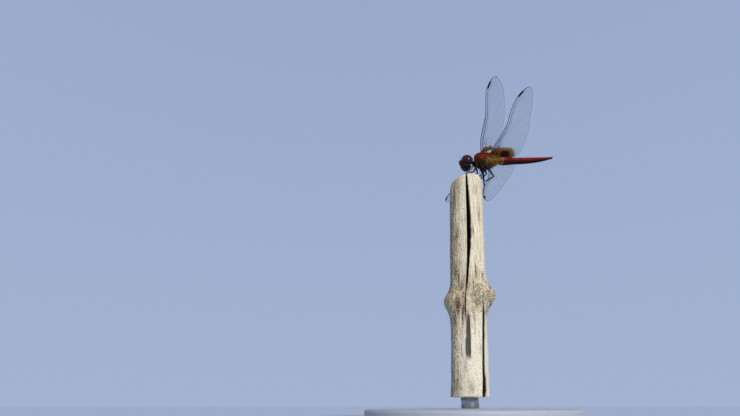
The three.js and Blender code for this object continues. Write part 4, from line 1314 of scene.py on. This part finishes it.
# Coloured patches at the wing bases: (out, back), (spread out, spread back), colour, how solid.
FORE_MARKS = [((0.6, 3.4), (2.2, 2.1), OLIVE, 0.9), ((0.3, 1.2), (2.0, 1.0), AMBER, 0.7)]
HIND_MARKS = [((0.4, 6.6), (3.6, 4.7), OLIVE, 0.88), ((0.5, 3.0), (3.0, 2.8), AMBER, 0.9),
              ((0.2, 6.9), (2.1, 2.4), MAROON, 0.93), ((1.2, 1.6), (2.4, 0.3), MAROON, 0.8),
              ((1.1, 3.0), (2.0, 0.25), MAROON, 0.7)]


def build_wings():
    veins_paint = vein_paint()
    stigma_paint = dark_paint("wing_spot", STIGMA_BLACK, 0.35, 6)
    fold_paint = dark_paint("wing_fold_skin", FOLD_BROWN, 0.6, 6)
    sets = (("fore", FOREWING, FORE_VEINS, FORE_MARKS), ("hind", HINDWING, HIND_VEINS, HIND_MARKS))
    for pair, shape, veins, marks in sets:
        for which, (hand, side) in enumerate(HANDS):
            wing = Wing(shape, veins, which, side)
            paint = membrane_paint(f"membrane_{pair}_{hand}", marks, side)
            piece(f"membrane_{pair}_{hand}", membrane(wing), paint, wing.place,
                  [f"wing_{pair}_{hand}"])
            piece(f"veins_{pair}_{hand}", wing_frame(wing), veins_paint, wing.place)
            piece(f"stigma_{pair}_{hand}", stigma(wing), stigma_paint, wing.place)
            if pair == "hind":
                piece(f"wing_fold_{hand}", fold(wing), fold_paint, BODY_FRAME)


# ------------------------------------------------------------------ legs

def spines(path, radii, chance, every, length, lean, sides):
    """Rows of bristles along a limb, leaning towards its foot."""
    heading = unit(np.gradient(path, axis=0))
    helper = unit(np.cross(heading, np.array([0.2, 0.3, 0.9])))
    other = np.cross(heading, helper)
    run = np.concatenate([[0], np.cumsum(np.linalg.norm(np.diff(path, axis=0), axis=1))])
    places = np.arange(0.15 * run[-1], 0.97 * run[-1], every)
    parts = []
    for angle in np.radians(sides):
        outward = spoke(helper, other, angle)
        for place in places + chance.uniform(-0.05, 0.05, len(places)):
            i = min(int(np.searchsorted(run, place)), len(path) - 1)
            way = unit(outward[i] + lean * heading[i])
            root = path[i] + outward[i] * radii[i] * 0.7
            reach = length * chance.uniform(0.8, 1.1)
            tip = root + way * reach + heading[i] * 0.06
            parts.append(tube([root, root + way * reach * 0.5, tip], SPINE, 5))
    return parts


def foot(ankle, toe):
    """Three foot joints in a row and two claws."""
    way = toe - ankle
    joints = [ankle + way * share for share in FOOT_SHARES]
    parts = [tube(*tapered([a, (a + b) / 2, b], 10, FOOT_JOINT), 12) for a, b in zip(joints, joints[1:])]
    side = unit(np.cross(way, UP))
    for hand in (1, -1):
        bow = joints[-1] + way * 0.09 + side * hand * 0.14 + UP * 0.05
        tip = toe + side * hand * CLAW_SPREAD - UP * 0.02
        parts.append(tube(*tapered([joints[-1], bow, tip], 10, CLAW), 8))
    return parts


def leg(name, hip, knee, ankle, toe):
    """Hip joint, thigh, shin with bristles, a three-jointed foot and two claws."""
    chance = np.random.default_rng(sum(map(ord, name)))
    hip = np.array(hip, float)
    knee, ankle, toe = (BODY_FRAME.into(point) for point in (knee, ankle, toe))
    way = unit(unit(knee - hip) - UP)
    root = hip + way * COXA_LENGTH
    thigh_way = unit(knee - root)
    start = root + thigh_way * 0.15
    bow = unit(np.cross(thigh_way, np.cross(UP, thigh_way))) * THIGH_BOW
    thigh = tapered([start, (start + knee) / 2 + bow, knee], 30, THIGH)
    shin = tapered([knee, (knee + ankle) / 2 - bow * 0.6, ankle], 30, SHIN)
    return joined([
        tube(*tapered([hip + UP * 0.4, hip + way * 0.2, root], 14, HIP), 18),
        ball(root + thigh_way * 0.12, HIP_BALL), tube(*thigh, 16),
        ball(knee, KNEE_BALL), tube(*shin, 14), *foot(ankle, toe),
        *spines(*thigh, chance, **THIGH_SPINES), *spines(*shin, chance, **SHIN_SPINES),
    ])


def build_legs():
    paint = dark_paint("leg_cuticle", LEG_BLACK, 0.5, 9)
    for name, joints in LEGS.items():
        piece(f"limb_{name}", leg(name, *joints), paint, BODY_FRAME, [f"leg_{name}"])


# ------------------------------------------------------------------ stick

def turn_from(bearing, middle):
    """Degrees between two bearings, the short way round."""
    return (bearing - middle + 180) % 360 - 180


def stick_axis(height):
    return PERCH["lean"] * (height - PERCH["lean_from"])


class StickSkin:
    """The stick's skin over a grid of bearings and heights, closer together in front and near the top: its
    radius, how brown, worn and stained each point is, and its painted shade in hollows and cracks, where a
    shallow furrow is darkened as a stain instead."""

    def __init__(self, columns=720, rows=560):
        spread = np.linspace(0, 1, columns, endpoint=False)
        degrees = -270 + 360 * (spread + 0.055 * np.sin(2 * np.pi * spread))
        height = np.linspace(PERCH["bottom"], PERCH["top"], rows)[:, None]
        height = PERCH["top"] - (PERCH["top"] - height) * (1 - 0.25 * smooth(height, 80, 97))
        self.degrees, self.height = (array.copy() for array in np.broadcast_arrays(degrees, height))
        self.bearing = np.radians(self.degrees)
        self.noise = {name: self.waves(*numbers) for name, numbers in NOISES.items()}
        self.radius = self.bare_radius()
        self.knot, self.brown, self.hollow = (np.zeros_like(self.radius) for _ in range(3))
        self.swell_knots()
        self.cut_hair_cracks()
        self.crack = self.cut_drying_cracks()
        # Open grain is darkened as painted shade.
        open_grain = -self.noise["fibres"] - 0.4 * self.noise["threads"]
        self.hollow = np.maximum(self.hollow, 0.6 * smooth(open_grain, 0.72, 1.1))

    def waves(self, columns, rows, seed):
        """Smooth noise with so many waves round the stick and up it."""
        return lattice(self.degrees / 360, self.up(), columns, rows, seed)

    def up(self):
        """The height as a share of the noises' own."""
        return (self.height - PERCH["bottom"]) / NOISE_HEIGHT

    def bare_radius(self):
        """The bare stick: its swellings and ribs, with coarse to fine unevenness."""
        radius = np.full(self.height.shape, float(PERCH["radius"]))
        for middle, place, reach, spread, up in SWELLINGS:
            turn = np.radians(turn_from(self.degrees, middle))
            radius += reach * np.exp(-(turn / spread) ** 2 - ((self.height - place) / up) ** 2)
        for count, depth, wind in RIBS:
            radius += depth * np.cos(count * self.bearing + wind * self.height)
        noise = self.noise
        return radius - 0.3 + 0.12 * noise["coarse"] + 0.08 * noise["fibres"] + 0.04 * noise["threads"]

    def swell_knots(self):
        """Pitted brown lumps, each with a hollow round it, darkened as painted shade."""
        for middle, place, spread, up, tone in KNOTS:
            ring = np.hypot(turn_from(self.degrees, middle) / spread, (self.height - place) / up)
            ring += 0.2 * self.noise["coarse"]
            lump = smooth(-ring, -1.15, -0.7)
            self.knot = np.maximum(self.knot, lump)
            self.brown = np.maximum(self.brown, lump * tone)
            self.hollow = np.maximum(self.hollow, 0.6 * bell(ring - 1.15, 0.16))
            self.radius += 0.35 * smooth(-ring, -1.1, 0)
        pitted = 0.3 * self.noise["pits"] + 0.2 * self.noise["grit"]
        self.radius += self.knot * pitted - 0.3 * self.hollow

    def cut_hair_cracks(self):
        """Fine cracks that run down from the top, darkened inside as painted shade."""
        for start, end, low in HAIR_CRACKS:
            share = np.clip((PERCH["top"] - self.height) / (PERCH["top"] - low), 0, 1)
            line = start + (end - start) * share + 1.2 * self.noise["coarse"]
            off = turn_from(self.degrees, line) * MM_PER_DEGREE
            cut = bell(off, 0.09) * smooth(self.height, low, low + 5)
            self.radius -= 0.22 * cut
            self.hollow = np.maximum(self.hollow, 0.7 * cut)

    def cut_drying_cracks(self):
        """Cracks that gape to the front. Returns how dark each point is inside one: painted shade in a deep
        crack, a dark stain in a shallow one.
        """
        depth, dark = np.zeros_like(self.radius), np.zeros_like(self.radius)
        wobble = lattice(np.zeros_like(self.height), self.up(), *CRACK_WOBBLE)
        across = self.radius * np.cos(self.bearing)
        in_front = smooth(-np.sin(self.bearing), 0.05, 0.3)
        for deepest, darkness, stations in CRACKS:
            places, middles, halves = np.array(stations).T
            middle = np.interp(self.height, places, middles) - stick_axis(self.height) + 0.08 * wobble
            half = np.interp(self.height, places, halves, left=0, right=0) * (1 + 0.1 * wobble)
            off = np.abs(across - middle) / np.maximum(half, 0.02)
            shallow = deepest < SHALLOW
            soft, fade = (0.75, 3.0) if shallow else (0.25, 0.4)
            reach = in_front * (half > 0.01) * smooth(self.height, places[0], places[0] + fade)
            reach *= smooth(-self.height, -places[-1], fade - places[-1])
            cut = smooth(-off, -1 - soft, -1 + soft) * reach
            wall = smooth(-off, -1 - soft, -1 + 0.5 * shallow * wobble) * reach
            deep = np.minimum(deepest, 0.6 + 7 * half)
            depth = np.maximum(depth, cut * np.minimum(deep, self.radius * 0.75))
            dark = np.maximum(dark, darkness * wall * smooth(half, 0.01, 0.12))
        self.radius -= depth
        return dark

    def worn(self):
        """How weathered each point is: the left face, the knot and a band about its height."""
        left = smooth(-turn_from(self.degrees, WORN["left_of"]), *WORN["fade"])
        left *= smooth(turn_from(self.degrees, WORN["right_of"]), *WORN["far_fade"])
        band = 0.7 * bell(self.height - WORN["knot"], WORN["band"])
        return np.maximum(np.maximum(left, 0.9 * self.knot), band) + 0.3 * self.noise["coarse"]

    def stain(self):
        """How stained each point is: soft ovals with edges that wander a little."""
        stain = np.zeros_like(self.radius)
        for middle, place, spread, up, strength in STAINS:
            turn = turn_from(self.degrees, middle + 3 * self.noise["coarse"])
            off = np.hypot(turn / spread, (self.height - place) / up)
            stain = np.maximum(stain, strength * bell(off, 1.0))
        return stain

    def marks(self):
        return {"stain": np.clip(self.stain(), 0, 1), "brown": self.brown, "hollow": self.hollow,
                "crack": self.crack, "worn": np.clip(self.worn(), 0, 1)}

    def rings(self):
        """The points of the skin, rounded in at the broken top, which falls to one side."""
        top = PERCH["top"]
        from_top = np.clip((top - self.height) / PERCH["shoulder"], 0, 1)
        rounding = PERCH["top_share"] + (1 - PERCH["top_share"]) * np.sqrt(1 - (1 - from_top) ** 2)
        near_top = smooth(self.height, top - PERCH["fall_height"], top)
        radius = self.radius * rounding
        across = radius * np.cos(self.bearing)
        return np.stack([stick_axis(self.height) + across, radius * np.sin(self.bearing),
                         self.height + PERCH["top_fall"] * across * near_top], -1)


def build_stick():
    skin = StickSkin()
    rings, marks = cap_stick(skin.rings(), skin.marks())
    marks = {key: np.concatenate([value.ravel(), [0, 0.3]]) for key, value in marks.items()}
    piece("dead_stick", closed(rings), wood_paint(), ROW, ["perch_stick"], marks)


def cap_stick(rings, marks, count=46):
    """Closes the broken tip with rings that draw in to its middle, roughened like torn fibres."""
    middle = np.array([stick_axis(PERCH["top"]), 0, PERCH["top"]])
    share = np.linspace(1, 0, count + 1)[1:-1][:, None]
    inner = middle + (rings[-1] - middle) * share[..., None]
    x, y = inner[..., 0] / TORN_TIP["width"] + 0.5, inner[..., 1] / TORN_TIP["width"] + 0.5
    torn = sum(height * lattice(x, y, waves, waves, seed) for waves, height, seed in TORN_FIBRES)
    inner[..., 2] += (torn - TORN_TIP["sunk"]) * smooth(-share, -1, -0.9)
    made = {}
    for key, value in marks.items():
        fading = value[-1] * share ** 2
        made[key] = np.concatenate([value, fading if key == "crack" else fading * 0.5])
    return np.concatenate([rings, inner]), made


# ------------------------------------------------------------------ stand

def build_stand():
    """A round base with a rounded upper edge, and the rod that holds the stick."""
    radius, height, edge = STAND["radius"], STAND["height"], STAND["edge"]
    turn = np.radians(np.linspace(0, 90, 14))
    rim = np.stack([radius - edge + edge * np.cos(turn), height - edge + edge * np.sin(turn)], 1)
    foot_edge = [(radius - 0.8, 0), (radius - 0.3, 0.1), (radius, 0.5)]
    top = [(share * (radius - edge), height) for share in (0.8, 0.6, 0.4, 0.25, 0.12, 0.04)]
    profile = np.array([(4, 0), (20, 0), *foot_edge, *rim, *top])
    piece("stand_disc", lathe(profile, 160), stand_paint(), ROW, ["stand_base"])
    low, high = height + STAND["rod_gap"], PERCH["bottom"] - STAND["rod_gap"]
    rod, bevel = STAND["rod_radius"] - 0.02, STAND["rod_edge"]
    profile = np.array([(rod - bevel, low), (rod, low + bevel), (rod, high - bevel), (rod - bevel, high)])
    points, faces = lathe(profile, 64)
    points[:, 0] += stick_axis(PERCH["bottom"])
    piece("stand_post", (points, faces), steel_paint(), ROW, ["stand_rod"])


# ------------------------------------------------------------------ surroundings

def build_floor():
    mesh = bpy.data.meshes.new("floor")
    size = FLOOR["half"]
    corners = [(-size, -size, 0), (size, -size, 0), (size, size, 0), (-size, size, 0)]
    mesh.from_pydata(corners, [], [(0, 1, 2, 3)])
    mesh.materials.append(Paint("floor_pale", Roughness=0.9).finish(colour(*FLOOR["tint"])))
    placed("floor", mesh)


def build_sky():
    """A pale blue backdrop for what the camera, gloss and glass see, and a plain soft fill as light."""
    world = bpy.data.worlds.new("studio")
    bpy.context.scene.world = world
    world.use_nodes = True
    world.node_tree.nodes.clear()
    sky = Nodes(world.node_tree)
    _, _, height = sky.parts(sky.node("TexCoord", {}, "Generated"))
    share = sky.node("MapRange", {"Value": height, "From Min": 0.0, "From Max": SKY["high_at"]})
    seen = sky.node("Background", {"Color": sky.mix(colour(*SKY["low"]), colour(*SKY["high"]), share)})
    light = sky.node("Background", {"Color": colour(*SKY["fill"]), "Strength": SKY["fill_strength"]})
    shows = sky.node("LightPath", {}, "Is Camera Ray")
    for ray in ("Is Glossy Ray", "Is Transmission Ray"):
        shows = sky.math("MAXIMUM", shows, sky.node("LightPath", {}, ray))
    output = world.node_tree.nodes.new("ShaderNodeOutputWorld")
    sky.feed(output.inputs["Surface"], sky.node("MixShader", {0: shows, 1: light, 2: seen}))


def build_lamp():
    lamp = bpy.data.lights.new("key", "SUN")
    lamp.angle, lamp.energy, lamp.color = np.radians(LAMP["spread"]), LAMP["strength"], LAMP["tint"]
    made = placed("key", lamp)
    made.location = Vector(LAMP["from"]) * MM
    made.rotation_mode = "QUATERNION"
    made.rotation_quaternion = (Vector(LAMP["towards"]) - Vector(LAMP["from"])).to_track_quat("-Z", "Y")


def build_camera():
    lens = bpy.data.cameras.new("camera")
    lens.lens, lens.sensor_width = CAMERA["lens"], CAMERA["sensor"]
    lens.clip_start, lens.clip_end = CAMERA["clip"]
    camera = placed("camera", lens)
    camera.location = Vector(CAMERA["position"]) * MM
    camera.rotation_euler = (np.radians(90 + CAMERA["pitch"]), 0, 0)
    bpy.context.scene.camera = camera
    bpy.context.scene.view_settings.view_transform = "Standard"


build_trunk()
build_tail()
build_eyes()
build_face()
build_face_hair()
build_wings()
build_legs()
build_stick()
build_stand()
build_floor()
build_sky()
build_lamp()
build_camera()
